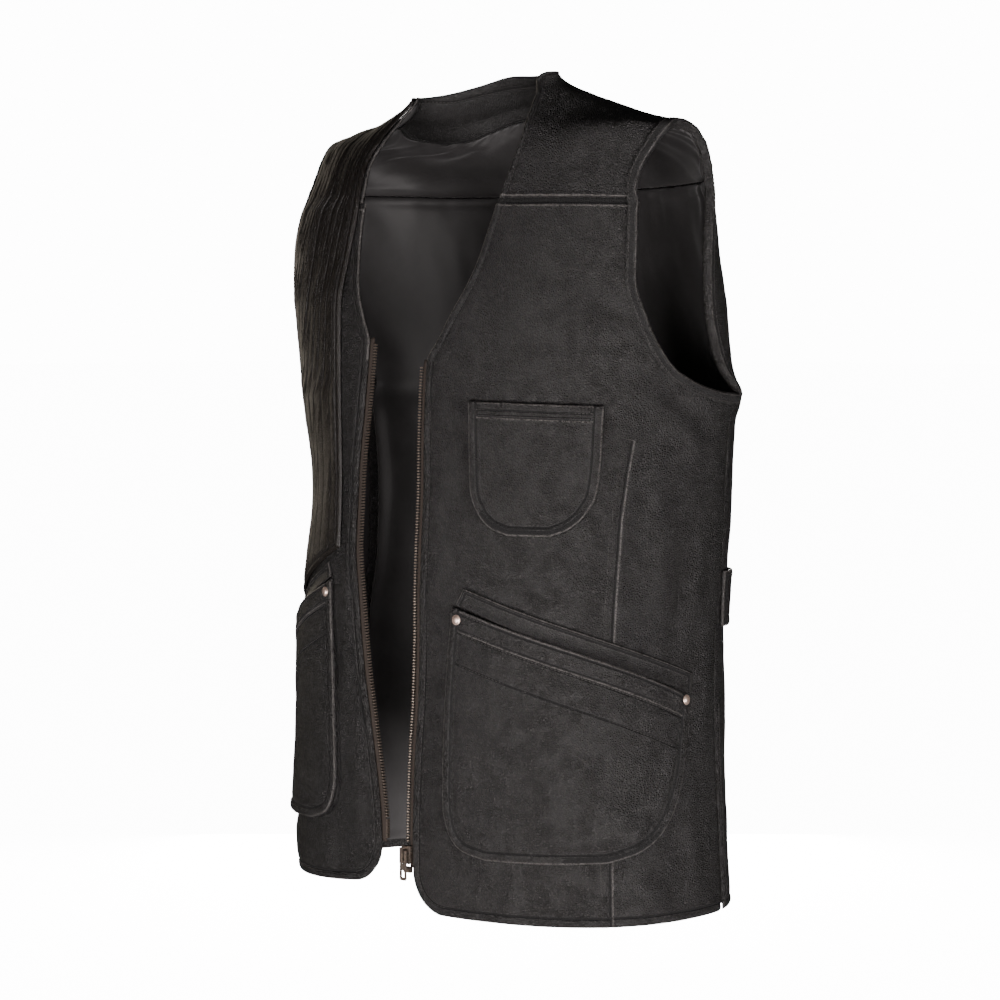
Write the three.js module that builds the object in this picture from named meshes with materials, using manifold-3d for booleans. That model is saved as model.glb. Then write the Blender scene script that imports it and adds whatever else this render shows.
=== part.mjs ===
// Leather shooting vest, worn form with no wearer. Millimetres, +Z up, front towards -Y,
// the wearer's left is +X. Every piece is a closed wall laid on one body surface.
import * as THREE from 'three';
import * as BufferGeometryUtils from 'three/addons/utils/BufferGeometryUtils.js';
import Module from 'manifold-3d';

const wasm = await Module();
wasm.setup();

// Driving sizes.
const LEATHER = 1.8;            // panel thickness
const SEAM = 0.3;               // space between sewn pieces
const LINING = 1.1;
const BACK_SEAM = 610;          // height of the seam under the back yoke
const YOKE_SEAM = { neck: 593.5, arm: 591.5 };   // heights of the yoke's front seam at its two ends
const SIDE_VENT = 177;          // top of the side vents
const VENT_HALF = 3;            // half the vent's width at the hem
const ZIP_FOOT = 58;            // lowest tooth
const ZIP_HEAD = 456;           // highest tooth
const TAPE_FOOT = 36;           // lower end of the zip's tapes
const HEM_CORNER = 34;          // rounding of the front's lower corner
const BINDING = 8;              // width of the armhole binding
const PATCH_PAD = 3.2;          // padding of the shooting patch between its quilting lines
const PATCH_RIB = 2;            // rise of each quilted channel
const PATCH_RIBS = 13;
const POCKET_FACE = 1.6;        // thickness of each pocket's face
const POCKET_RIM = 3.3;         // how far a pocket's face lies off the panel at its mouth corners
// How each pocket's face stands out: at its mouth's middle, at its foot and at its belly.
const POCKET_OUT = {
  left: { mouth: 12.5, foot: 9.5, belly: 2 },
  right: { mouth: 9, foot: 6.8, belly: 0.5 },
  chest: { mouth: 3.6, foot: 4.6, belly: 1 },
};
const LOWER_CAMBER = 5;         // rise of a lower pocket's mouth between its corners
const LOWER_GUSSET = 1.6;       // width of the gussets' walls
const CHEST_GUSSET = 6;
const RIVET = 4;                // rivet head radius
const PULL_LENGTH = 24;
const RIGHT_LIFT = 20;          // the right front hangs this much higher at its edge
const RIGHT_SHOULDER_DROP = 14;
const RIGHT_TWIST = 6;          // degrees that the right side is turned towards the front
const ORIGIN = new THREE.Vector3(0, -30, 672);   // between the shoulders, where they bear

// Body surface.
// One row for each section of the body: half width, depth to the front and to the back,
// where the widest place lies, and how square the section is.
const SECTIONS = [
  { height: 0, half: 208, front: 150, back: 126, middle: 0, square: 2.4, squareBack: 2.3 },
  { height: 60, half: 208, front: 153, back: 124, middle: 0, square: 2.4, squareBack: 2.3 },
  { height: 150, half: 206, front: 158, back: 118, middle: 0, square: 2.4, squareBack: 2.3 },
  { height: 250, half: 203, front: 160, back: 112, middle: 0, square: 2.4, squareBack: 2.25 },
  { height: 345, half: 205, front: 156, back: 115, middle: 0, square: 2.4, squareBack: 2.3 },
  { height: 430, half: 211, front: 149, back: 120, middle: -1, square: 2.4, squareBack: 2.2 },
  { height: 500, half: 211, front: 141, back: 119, middle: -3, square: 2.4, squareBack: 2.05 },
  { height: 550, half: 210, front: 127, back: 112, middle: -5, square: 2.4, squareBack: 1.95 },
  { height: 600, half: 210, front: 112, back: 96, middle: -7, square: 2.3, squareBack: 1.9 },
  { height: 632, half: 210, front: 102, back: 76, middle: -9, square: 2.2, squareBack: 1.85 },
  { height: 646, half: 208, front: 96, back: 58, middle: -12, square: 2.1, squareBack: 1.8 },
  { height: 653, half: 203, front: 93, back: 46, middle: -15, square: 2, squareBack: 1.75 },
  { height: 658, half: 189, front: 91, back: 37, middle: -18, square: 1.9, squareBack: 1.7 },
  { height: 663, half: 171, front: 89, back: 31, middle: -21, square: 1.85, squareBack: 1.65 },
  { height: 669, half: 150, front: 86, back: 27, middle: -25, square: 1.8, squareBack: 1.65 },
  { height: 675, half: 130, front: 83, back: 23, middle: -29, square: 1.8, squareBack: 1.65 },
  { height: 682, half: 111, front: 79, back: 19, middle: -33, square: 1.85, squareBack: 1.65 },
  { height: 688, half: 96, front: 75, back: 8, middle: -37, square: 1.9, squareBack: 1.6 },
  { height: 694, half: 87, front: 70, back: 1, middle: -40, square: 1.95, squareBack: 1.55 },
  { height: 700, half: 82, front: 65, back: -5, middle: -42, square: 2, squareBack: 1.5 },
  { height: 707, half: 79.5, front: 60, back: -10, middle: -42, square: 2, squareBack: 1.45 },
  { height: 713, half: 78, front: 57, back: -14, middle: -42, square: 2, squareBack: 1.45 },
];
// Soft pushes of the leather off its section: where, how wide, how tall and how far.
const DRAPE = [
  { turn: -55, height: 335, wide: 28, tall: 95, push: -14 },
  { turn: -55, height: 20, wide: 30, tall: 80, push: 3 },
  { turn: 122, height: 345, wide: 24, tall: 95, push: 6 },
  { turn: -66, height: 570, wide: 22, tall: 80, push: 14 },
  { turn: 100, height: 430, wide: 11, tall: 15, push: 8 },
  { turn: -100, height: 430, wide: 11, tall: 15, push: 6 },
  { turn: -50, height: 150, wide: 24, tall: 70, push: -4 },
  { turn: 126, height: 90, wide: 28, tall: 130, push: -8 },
  { turn: 50, height: 250, wide: 16, tall: 130, push: 3 },
  { turn: 78, height: 385, wide: 9, tall: 60, push: -3 },
  { turn: -160, height: 250, wide: 18, tall: 170, push: 4 },
  { turn: 165, height: 180, wide: 14, tall: 150, push: 3 },
];
// The front edges: girth from the front's middle line to the leather's edge.
const FRONT_EDGE = [
  { height: 0, left: 22, right: 15 }, { height: 54, left: 23, right: 15 },
  { height: 93, left: 26, right: 18 }, { height: 140, left: 31, right: 24 },
  { height: 177, left: 35, right: 30 }, { height: 240, left: 38, right: 37 },
  { height: 290, left: 38, right: 43 }, { height: 343, left: 38, right: 43 },
  { height: 400, left: 35, right: 39 }, { height: 457, left: 33, right: 37 },
  { height: 464, left: 35, right: 39 }, { height: 476, left: 43, right: 46 },
  { height: 497, left: 54, right: 55 }, { height: 522, left: 67, right: 64 },
  { height: 545, left: 74, right: 71 }, { height: 563, left: 77, right: 75 },
  { height: 581, left: 80, right: 78 }, { height: 600, left: 82, right: 80 },
];
// The sides: the front's edge and the back's edge, as girth from the front's middle line.
const SIDE_EDGE = [
  { height: 0, front: 325, back: 325 }, { height: 177, front: 320, back: 320 },
  { height: 226, front: 321, back: 321 }, { height: 284, front: 329, back: 329 },
  { height: 400, front: 331, back: 331 }, { height: 430, front: 330, back: 331 },
  { height: 432, front: 311, back: 332 }, { height: 436, front: 294, back: 331 },
  { height: 443, front: 275, back: 325 }, { height: 452, front: 258, back: 317 },
  { height: 464, front: 246, back: 309 }, { height: 478, front: 236, back: 302 },
  { height: 493, front: 228, back: 296 }, { height: 525, front: 214, back: 288 },
  { height: 558, front: 209, back: 283 }, { height: 590, front: 205, back: 281 },
  { height: 610, front: 205, back: 281 },
];
// The yoke from the left front seam to the back's middle: its neck edge and its outer edge.
const YOKE = [
  { way: 0, neckTurn: 38.6, neckHeight: YOKE_SEAM.neck, outTurn: 73.4, outHeight: YOKE_SEAM.arm },
  { way: 0.12, neckTurn: 44, neckHeight: 626, outTurn: 75.5, outHeight: 614 },
  { way: 0.22, neckTurn: 51.8, neckHeight: 655, outTurn: 79.2, outHeight: 634 },
  { way: 0.31, neckTurn: 61, neckHeight: 671, outTurn: 83.5, outHeight: 648 },
  { way: 0.39, neckTurn: 73, neckHeight: 687, outTurn: 88, outHeight: 654 },
  { way: 0.46, neckTurn: 86, neckHeight: 703, outTurn: 91.5, outHeight: 652.5 },
  { way: 0.52, neckTurn: 98, neckHeight: 704, outTurn: 93.2, outHeight: 641 },
  { way: 0.58, neckTurn: 110, neckHeight: 704, outTurn: 94.8, outHeight: 626 },
  { way: 0.64, neckTurn: 122, neckHeight: 704, outTurn: 96.2, outHeight: BACK_SEAM },
  { way: 0.76, neckTurn: 141, neckHeight: 704.5, outTurn: 119, outHeight: BACK_SEAM },
  { way: 0.88, neckTurn: 161, neckHeight: 705.5, outTurn: 150, outHeight: BACK_SEAM },
  { way: 1, neckTurn: 180, neckHeight: 706, outTurn: 180, outHeight: BACK_SEAM },
];

const clamp = THREE.MathUtils.clamp;
const smooth = (t) => THREE.MathUtils.smoothstep(t, 0, 1);
const mix = (a, b, t) => a + (b - a) * t;
const rad = THREE.MathUtils.degToRad;

// Smooth reading of a table by one of its columns.
function reader(rows, along) {
  const keys = rows.map((row) => row[along]);
  return (where, name) => {
    let i = 0;
    while (i < keys.length - 2 && where > keys[i + 1]) i += 1;
    const t = clamp((where - keys[i]) / (keys[i + 1] - keys[i]), 0, 1);
    const slope = (k) => {
      const a = Math.max(k - 1, 0);
      const b = Math.min(k + 1, keys.length - 1);
      if (k === 0 || k === keys.length - 1) return (rows[b][name] - rows[a][name]) / (keys[b] - keys[a]);
      const before = (rows[k][name] - rows[a][name]) / (keys[k] - keys[a]);
      const after = (rows[b][name] - rows[k][name]) / (keys[b] - keys[k]);
      return before * after <= 0 ? 0 : 2 * before * after / (before + after);
    };
    const w = keys[i + 1] - keys[i];
    return (2 * t ** 3 - 3 * t ** 2 + 1) * rows[i][name] + (t ** 3 - 2 * t ** 2 + t) * w * slope(i)
      + (3 * t ** 2 - 2 * t ** 3) * rows[i + 1][name] + (t ** 3 - t ** 2) * w * slope(i + 1);
  };
}

// The climb runs along the outline of the sections, so it also works over the shoulders.
let climbed = 0;
SECTIONS.forEach((row, i) => {
  if (i) climbed += Math.hypot(row.height - SECTIONS[i - 1].height, row.half - SECTIONS[i - 1].half);
  row.climb = climbed;
});
const readSection = reader(SECTIONS, 'climb');
const readFront = reader(FRONT_EDGE, 'height');
const readSide = reader(SIDE_EDGE, 'height');
const readYoke = reader(YOKE, 'way');

function climbAt(height) {
  let low = 0;
  let high = climbed;
  for (let i = 0; i < 36; i += 1) {
    const half = (low + high) / 2;
    if (readSection(half, 'height') < height) low = half;
    else high = half;
  }
  return (low + high) / 2;
}

function bare(turn, climb) {
  const side = Math.sin(turn);
  const ahead = Math.cos(turn);
  const middle = readSection(climb, 'middle');
  const depth = ahead > 0 ? readSection(climb, 'front') + middle : readSection(climb, 'back') - middle;
  const n = readSection(climb, ahead > 0 ? 'square' : 'squareBack');
  const r = (Math.abs(side / readSection(climb, 'half')) ** n + Math.abs(ahead / depth) ** n) ** (-1 / n);
  return new THREE.Vector3(r * side, middle - r * ahead, readSection(climb, 'height'));
}

function bareNormal(turn, climb) {
  const a = bare(turn + 0.004, climb).sub(bare(turn - 0.004, climb));
  const b = bare(turn, Math.min(climb + 0.6, climbed)).sub(bare(turn, Math.max(climb - 0.6, 0)));
  return a.cross(b).normalize();
}

// The right side is turned forward a little, with its armhole and its seam.
function twist(turn, climb) {
  const back = -THREE.MathUtils.radToDeg(turn);
  const share = smooth((back - 35) / 60) * (1 - smooth((back - 100) / 75));
  return turn + rad(RIGHT_TWIST) * share * (1 - smooth((climb - 610) / 110));
}

function drape(turn, height) {
  let push = 0;
  for (const fold of DRAPE) {
    let away = THREE.MathUtils.radToDeg(turn) - fold.turn;
    away -= 360 * Math.round(away / 360);
    push += fold.push * Math.exp(-((away / fold.wide) ** 2) - ((height - fold.height) / fold.tall) ** 2);
  }
  return push;
}

// How the whole garment hangs: the right front rides up and the right shoulder lies lower.
function hang(p) {
  const reach = Math.hypot(p.x + 25, p.y + 150);
  const lift = RIGHT_LIFT * Math.exp(-reach / 120) * smooth((8 - p.x) / 16)
    * smooth((20 - p.y) / 100) * (1 - smooth((p.z - 470) / 120));
  const drop = RIGHT_SHOULDER_DROP * smooth(-p.x / 90) * (1 - 0.5 * smooth((-p.x - 95) / 100))
    * smooth((p.z - 585) / 80);
  return new THREE.Vector3(p.x, p.y, p.z + lift - drop);
}

// A point of the garment: turn about the body (0 is the front, + is the wearer's left),
// climb along the outline, and distance out from the panels' inner face.
function garment(turn, climb, out) {
  const round = twist(turn, climb);
  const p = bare(round, climb);
  return hang(p.addScaledVector(bareNormal(round, climb), drape(round, p.z) + out)).sub(ORIGIN);
}

const girths = new Map();
function girthTable(height) {
  const key = height.toFixed(1);
  if (!girths.has(key)) {
    const climb = climbAt(height);
    const turns = [0];
    const lengths = [0];
    let last = bare(0, climb);
    for (let i = 1; i <= 120; i += 1) {
      const here = bare(Math.PI * i / 120, climb);
      turns.push(Math.PI * i / 120);
      lengths.push(lengths[i - 1] + here.distanceTo(last));
      last = here;
    }
    girths.set(key, { climb, turns, lengths });
  }
  return girths.get(key);
}
// The turn at a girth from the front's middle line, negative on the right.
function turnAt(girth, height) {
  const { turns, lengths } = girthTable(height);
  const size = Math.min(Math.abs(girth), lengths[120]);
  let i = 0;
  while (i < 119 && lengths[i + 1] < size) i += 1;
  return Math.sign(girth) * mix(turns[i], turns[i + 1], (size - lengths[i]) / (lengths[i + 1] - lengths[i]));
}
const spot = (girth, height) => ({ turn: turnAt(girth, height), climb: girthTable(height).climb });
function lay(girth, height, out) {
  const s = spot(girth, height);
  return garment(s.turn, s.climb, out);
}

// Closed walls.
function solid(points, faces) {
  const geometry = new THREE.BufferGeometry();
  geometry.setAttribute('position', new THREE.BufferAttribute(
    new Float32Array(points.flatMap((p) => [p.x, p.y, p.z])), 3));
  geometry.setIndex(faces);
  geometry.computeVertexNormals();
  return geometry;
}

// A wall over a grid of spots. at(u, v) gives {turn, climb}; inner and outer give distances out.
// flip turns the faces over where u runs the other way about the body.
function wall(us, vs, at, inner, outer, flip = false) {
  const points = [];
  const faces = [];
  const nu = us.length;
  const nv = vs.length;
  for (const out of [inner, outer]) {
    for (const v of vs) {
      for (const u of us) {
        const s = at(u, v);
        points.push(garment(s.turn, s.climb, out(u, v)));
      }
    }
  }
  const id = (layer, i, j) => layer * nu * nv + j * nu + i;
  const quad = (a, b, c, d) => (flip ? faces.push(a, c, b, a, d, c) : faces.push(a, b, c, a, c, d));
  for (let j = 0; j < nv - 1; j += 1) {
    for (let i = 0; i < nu - 1; i += 1) {
      quad(id(1, i, j), id(1, i + 1, j), id(1, i + 1, j + 1), id(1, i, j + 1));
      quad(id(0, i, j), id(0, i, j + 1), id(0, i + 1, j + 1), id(0, i + 1, j));
    }
  }
  for (let i = 0; i < nu - 1; i += 1) {
    quad(id(0, i, 0), id(0, i + 1, 0), id(1, i + 1, 0), id(1, i, 0));
    quad(id(0, i + 1, nv - 1), id(0, i, nv - 1), id(1, i, nv - 1), id(1, i + 1, nv - 1));
  }
  for (let j = 0; j < nv - 1; j += 1) {
    quad(id(0, 0, j + 1), id(0, 0, j), id(1, 0, j), id(1, 0, j + 1));
    quad(id(0, nu - 1, j), id(0, nu - 1, j + 1), id(1, nu - 1, j + 1), id(1, nu - 1, j));
  }
  return solid(points, faces);
}
const spread = (count, a = 0, b = 1) => Array.from({ length: count + 1 }, (_, i) => mix(a, b, i / count));

// A wall along a path: each section is a ring of points, closed at both ends or in a loop.
function sweep(sections, loop = false) {
  const size = sections[0].length;
  const rings = sections.length;
  const faces = [];
  for (let j = 0; j < (loop ? rings : rings - 1); j += 1) {
    const next = (j + 1) % rings;
    for (let i = 0; i < size; i += 1) {
      const k = (i + 1) % size;
      faces.push(j * size + i, j * size + k, next * size + k, j * size + i, next * size + k, next * size + i);
    }
  }
  const last = (rings - 1) * size;
  for (let i = 1; i < size - 1 && !loop; i += 1) faces.push(0, i + 1, i, last, last + i, last + i + 1);
  const geometry = solid(sections.flat(), faces);
  return volume(geometry) < 0 ? solid(sections.flat(), faces.slice().reverse()) : geometry;
}
function volume(geometry) {
  const corner = (i) => new THREE.Vector3().fromBufferAttribute(geometry.attributes.position, i);
  const faces = geometry.index.array;
  let sum = 0;
  for (let i = 0; i < faces.length; i += 3) {
    sum += corner(faces[i]).dot(corner(faces[i + 1]).cross(corner(faces[i + 2]))) / 6;
  }
  return sum;
}

// Materials.
function finish(color, roughness, metalness = 0) {
  return new THREE.MeshStandardMaterial({ color, roughness, metalness });
}
const hide = finish(0x17120f, 0.5);
const quilt = finish(0x1d1613, 0.52);
const trim = finish(0x1f1815, 0.45);
const satin = finish(0x141216, 0.32);
const brass = finish(0x6b4f38, 0.4, 0.9);
const copper = finish(0x9a6a58, 0.35, 0.9);
const tapeCloth = finish(0x2a211c, 0.8);

const vest = new THREE.Group();
vest.name = 'leather_vest';
function put(name, geometry, material) {
  const mesh = new THREE.Mesh(geometry, material);
  mesh.name = name;
  vest.add(mesh);
  return mesh;
}
const HANDS = [{ hand: 'left', sign: 1 }, { hand: 'right', sign: -1 }];

// Fronts, back and yoke.
const SEAM_ROWS = [36, 60, 95, 135, 177, 226, 255, 284, 320, 360, 400, 430, 432, 436, 443, 452];
const BODY_ROWS = [0, 2, 7, 15, 25, ...SEAM_ROWS, 464, 478, 493, 510, 525, 545, 565, 590];
const seamShare = (turn) => (Math.abs(THREE.MathUtils.radToDeg(turn)) - 38.6) / 34.8;
const seamHeight = (turn) => mix(YOKE_SEAM.neck, YOKE_SEAM.arm, seamShare(turn));
const vent = (height) => VENT_HALF * Math.max(0, 1 - height / SIDE_VENT) ** 0.8;
const sideOfFront = (height) => readSide(height, 'front') - SEAM / 2 - vent(height);
const sideOfBack = (height) => readSide(height, 'back') + SEAM / 2 + vent(height);
function edgeOfFront(hand, height) {
  const fall = Math.max(0, HEM_CORNER - height);
  const round = HEM_CORNER - Math.sqrt(Math.max(HEM_CORNER ** 2 - fall ** 2, 0));
  return readFront(height, hand) + round;
}
function frontSpot(hand, sign, u, height) {
  const s = spot(sign * mix(edgeOfFront(hand, height), sideOfFront(height), u), height);
  const share = smooth((height - 500) / 90);
  const lifted = height + share * (seamHeight(s.turn) - 590);
  return { turn: s.turn, climb: climbAt(lifted) };
}
for (const { hand, sign } of HANDS) {
  put(`front_${hand}`, wall(spread(15), BODY_ROWS, (u, h) => frontSpot(hand, sign, u, h),
    () => 0, () => LEATHER, sign < 0), hide);
}

const BACK_ROWS = [0, 15, ...SEAM_ROWS, 464, 478, 493, 525, 558, 585, BACK_SEAM - SEAM / 2];
function backSpot(edge, u, height) {
  const total = girthTable(height).lengths[120];
  const fromBack = u * (total - edge);           // u from -1 (right) to 1 (left)
  const turn = turnAt(total - Math.abs(fromBack), height);
  return { turn: u < 0 ? -turn : turn, climb: girthTable(height).climb };
}
put('back', wall(spread(20, 1, -1), BACK_ROWS, (u, h) => backSpot(sideOfBack(h), u, h),
  () => 0, () => LEATHER), hide);

function yokeSpot(u, way) {
  const along = way > 1 ? 2 - way : way;          // 0..1 left half, 1..2 right half
  const turn = rad(mix(readYoke(along, 'neckTurn'), readYoke(along, 'outTurn'), u));
  const share = smooth((along - 0.48) / 0.12);    // even steps in height, then along the shoulder
  const heights = [readYoke(along, 'neckHeight'), readYoke(along, 'outHeight') + SEAM / 2];
  let climb = mix(climbAt(mix(...heights, u)), mix(climbAt(heights[0]), climbAt(heights[1]), u), share);
  if (along < 1e-6) climb = climbAt(seamHeight(turn) + SEAM);
  return { turn: way > 1 ? -turn : turn, climb };
}
const yokeWays = [...YOKE.slice(0, -1).flatMap((row, i) => [row.way, (row.way + YOKE[i + 1].way) / 2]), 1];
const allWays = [...yokeWays, ...yokeWays.slice(0, -1).reverse().map((w) => 2 - w)];
put('yoke', wall(spread(6), allWays, (u, w) => yokeSpot(u, w), () => 0, () => LEATHER), hide);

// Inside of the back.
// The leather facing and the lining's yoke divide the space under the yoke between them.
const insideWays = allWays.filter((w) => w > 0.45 && w < 1.55);
const FACING = 1.4;             // thickness of the neck facing
const FACING_FOOT = 0.5;        // share of the yoke's height that it covers
const UNDER_YOKE = -0.95;       // how far in from the panels these pieces lie
const UNDER_BACK = -1.5;
const LINING_INSET = 3;         // the lining stops this far inside the back's side edges
function underYoke(name, us, thick, material) {
  put(name, wall(us, insideWays, yokeSpot, () => UNDER_YOKE - thick, () => UNDER_YOKE), material);
}
underYoke('neck_facing', spread(3, 0, FACING_FOOT - 0.003), FACING, trim);
underYoke('lining_yoke', spread(3, FACING_FOOT, 0.997), LINING, satin);
const LINING_ROWS = [8, 60, 120, 177, 240, 300, 360, 400, 430, 436, 452, 478, 525, 565, BACK_SEAM - 0.7];
const liningSpot = (u, h) => backSpot(sideOfBack(h) + LINING_INSET, u, h);
put('lining_back', wall(spread(20, 1, -1), LINING_ROWS, liningSpot,
  () => UNDER_BACK - LINING, () => UNDER_BACK), satin);

// Armhole bindings.
function walk(turn, climb, step) {
  const goal = bare(turn, climb).add(step);
  let t = turn;
  let c = climb;
  for (let i = 0; i < 6; i += 1) {
    const p = bare(t, c);
    const miss = goal.clone().sub(p);
    const a = bare(t + 0.002, c).sub(p).divideScalar(0.002);
    const b = bare(t, Math.min(c + 0.5, climbed)).sub(p).divideScalar(0.5);
    const [aa, ab, bb] = [a.dot(a), a.dot(b), b.dot(b)];
    const [ma, mb] = [miss.dot(a), miss.dot(b)];
    const det = aa * bb - ab * ab;
    t += (ma * bb - mb * ab) / det;
    c += (mb * aa - ma * ab) / det;
  }
  return { turn: t, climb: c };
}
function armholeEdge() {
  const up = BODY_ROWS.filter((h) => h > 428 && h < 589);
  const down = BACK_ROWS.filter((h) => h > 431 && h < 605).reverse();
  return [...up.map((h) => spot(sideOfFront(h), h)),
    ...yokeWays.filter((way) => way > 0.02 && way < 0.63).map((way) => yokeSpot(1, way)),
    ...down.map((h) => spot(sideOfBack(h), h))];
}
const edge = armholeEdge();
const bindingSpots = edge.map((s, i) => {
  const before = edge[(i + edge.length - 1) % edge.length];
  const after = edge[(i + 1) % edge.length];
  const along = bare(after.turn, after.climb).sub(bare(before.turn, before.climb)).normalize();
  const away = bareNormal(s.turn, s.climb).cross(along).normalize();
  return { lip: walk(s.turn, s.climb, away.clone().multiplyScalar(0.4)),
    rim: walk(s.turn, s.climb, away.clone().multiplyScalar(BINDING)) };
});
for (const { hand, sign } of HANDS) {
  put(`armhole_binding_${hand}`, sweep(bindingSpots.map(({ lip, rim }) => {
    const mid = { turn: (lip.turn + rim.turn) / 2, climb: (lip.climb + rim.climb) / 2 };
    return [[lip, 2.9], [mid, 2.9], [rim, 2.9], [rim, 3.9], [mid, 4.6], [lip, 4.1]]
      .map(([s, out]) => garment(sign * s.turn, s.climb, out));
  }), true), trim);
}

// Rivets.
const RIVET_GAP = 0.4;
const RIVET_PROFILE = [
  [0, 0], [RIVET - 0.6, 0], [RIVET, 0.5], [RIVET * 0.85, 1.3], [RIVET * 0.45, 1.8], [0, 2],
].map(([radius, up]) => new THREE.Vector2(radius, up));
// It sits on the flat between four points of a pocket's face, at shares s and t across and down it.
function rivet(name, [a, b, c, d], s, t, sign) {
  const head = a.clone().lerp(b, s);
  const foot = c.clone().lerp(d, s);
  const down = foot.clone().sub(head);
  const across = b.clone().lerp(d, t).sub(a.clone().lerp(c, t));
  const outward = down.cross(across).multiplyScalar(sign).normalize();
  const mesh = put(name, new THREE.LatheGeometry(RIVET_PROFILE, 12), copper);
  mesh.position.copy(head.lerp(foot, t)).addScaledVector(outward, RIVET_GAP);
  mesh.quaternion.setFromUnitVectors(new THREE.Vector3(0, 1, 0), outward);
}

// Pockets.
// Outlines as girth and height: the left and the right side, from the mouth to the foot.
const LOWER_POCKET = [
  { way: 0, inGirth: 74, inHeight: 258, outGirth: 281, outHeight: 182 },
  { way: 0.3, inGirth: 68, inHeight: 186, outGirth: 275, outHeight: 152 },
  { way: 0.5, inGirth: 66, inHeight: 137, outGirth: 269, outHeight: 123 },
  { way: 0.7, inGirth: 65, inHeight: 95, outGirth: 257, outHeight: 93 },
  { way: 0.83, inGirth: 69, inHeight: 74, outGirth: 243, outHeight: 74 },
  { way: 0.93, inGirth: 81, inHeight: 59, outGirth: 224, outHeight: 61 },
  { way: 1, inGirth: 104, inHeight: 53, outGirth: 200, outHeight: 54 },
];
const CHEST_POCKET = [
  { way: 0, inGirth: 82, inHeight: 426, outGirth: 197, outHeight: 423 },
  { way: 0.4, inGirth: 86, inHeight: 382, outGirth: 196, outHeight: 381 },
  { way: 0.65, inGirth: 89, inHeight: 352, outGirth: 193, outHeight: 352 },
  { way: 0.83, inGirth: 98, inHeight: 333, outGirth: 184, outHeight: 334 },
  { way: 0.94, inGirth: 110, inHeight: 322, outGirth: 172, outHeight: 323 },
  { way: 1, inGirth: 124, inHeight: 317, outGirth: 158, outHeight: 317 },
];
const POCKET_WAYS = [0, 0.1, 0.24, 0.4, 0.55, 0.7, 0.8, 0.88, 0.95, 1];
const readLower = reader(LOWER_POCKET, 'way');
const readChest = reader(CHEST_POCKET, 'way');
const camber = (u) => LOWER_CAMBER * 4 * u * (1 - u);
// A point inside a pocket's outline, drawn in from its edges.
function outlinePoint(read, u, v) {
  const rise = read === readLower ? camber(u) * (1 - v) : 0;
  return {
    girth: mix(read(v, 'inGirth'), read(v, 'outGirth'), u),
    height: mix(read(v, 'inHeight'), read(v, 'outHeight'), u) + rise,
  };
}
function pocket(name, read, sign, { mouth, foot, belly }, width) {
  const rim = (v) => mix(POCKET_RIM, foot, smooth(v * 1.15));
  const inner = (u, v) => {
    const across = 4 * u * (1 - u);
    const gape = (mouth - POCKET_RIM) * across ** 0.7 * (1 - smooth(v * 1.4));
    return rim(v) + gape + belly * across * 4 * v * (1 - v * 0.75);
  };
  const outer = (u, v) => inner(u, v) + POCKET_FACE;
  put(name, wall(spread(10), POCKET_WAYS, (u, v) => {
    const p = outlinePoint(read, u, v);
    return spot(sign * p.girth, p.height);
  }, inner, outer, sign > 0), hide);
  // The gusset stands between the panel and the pocket's edge, a wall of its own.
  const ways = POCKET_WAYS.slice(1);
  const path = [...ways.map((v) => [0, v]), ...spread(9).slice(1, -1).map((u) => [u, 1]),
    ...ways.slice().reverse().map((v) => [1, v])];
  const flat = path.map(([u, v]) => outlinePoint(read, u, v));
  put(`${name}_gusset`, sweep(path.map(([, v], i) => {
    const a = flat[Math.max(i - 1, 0)];
    const b = flat[Math.min(i + 1, flat.length - 1)];
    const run = Math.hypot(b.girth - a.girth, b.height - a.height);
    const inward = { girth: -(b.height - a.height) / run, height: (b.girth - a.girth) / run };
    const top = Math.max(rim(v) - SEAM, 2.9);
    const shift = (d) => [sign * (flat[i].girth + inward.girth * d), flat[i].height + inward.height * d];
    return [[0.6, 2.3], [0.6, top], [0.6 + width, top], [0.6 + width, 2.3]]
      .map(([d, o]) => lay(...shift(d), o));
  })), trim);
  return outer;
}
for (const { hand, sign } of HANDS) {
  const face = pocket(`lower_pocket_${hand}`, readLower, sign, POCKET_OUT[hand], LOWER_GUSSET);
  const corner = (u, v) => {
    const p = outlinePoint(readLower, u, v);
    return lay(sign * p.girth, p.height, face(u, v));
  };
  for (const [side, u, share] of [['front', 0, 0.35], ['side', 0.9, 0.72]]) {
    const corners = [corner(u, 0), corner(u + 0.1, 0), corner(u, 0.1), corner(u + 0.1, 0.1)];
    rivet(`rivet_${side}_${hand}`, corners, share, 0.35, sign);
  }
}
pocket('chest_pocket', readChest, 1, POCKET_OUT.chest, CHEST_GUSSET);

// The slanted band behind each lower pocket's mouth.
for (const { hand, sign } of HANDS) {
  put(`pocket_band_${hand}`, wall(spread(20), [0, 1], (u, v) => {
    const girth = mix(mix(77, 84, v), mix(284, 287, v), u);
    const height = mix(mix(260.5, 274, v), mix(184.5, 202, v), u) + camber(u) * mix(1, 0.3, v);
    return spot(sign * girth, height);
  }, () => 2.1, () => 3.6, sign < 0), trim);
}

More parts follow.
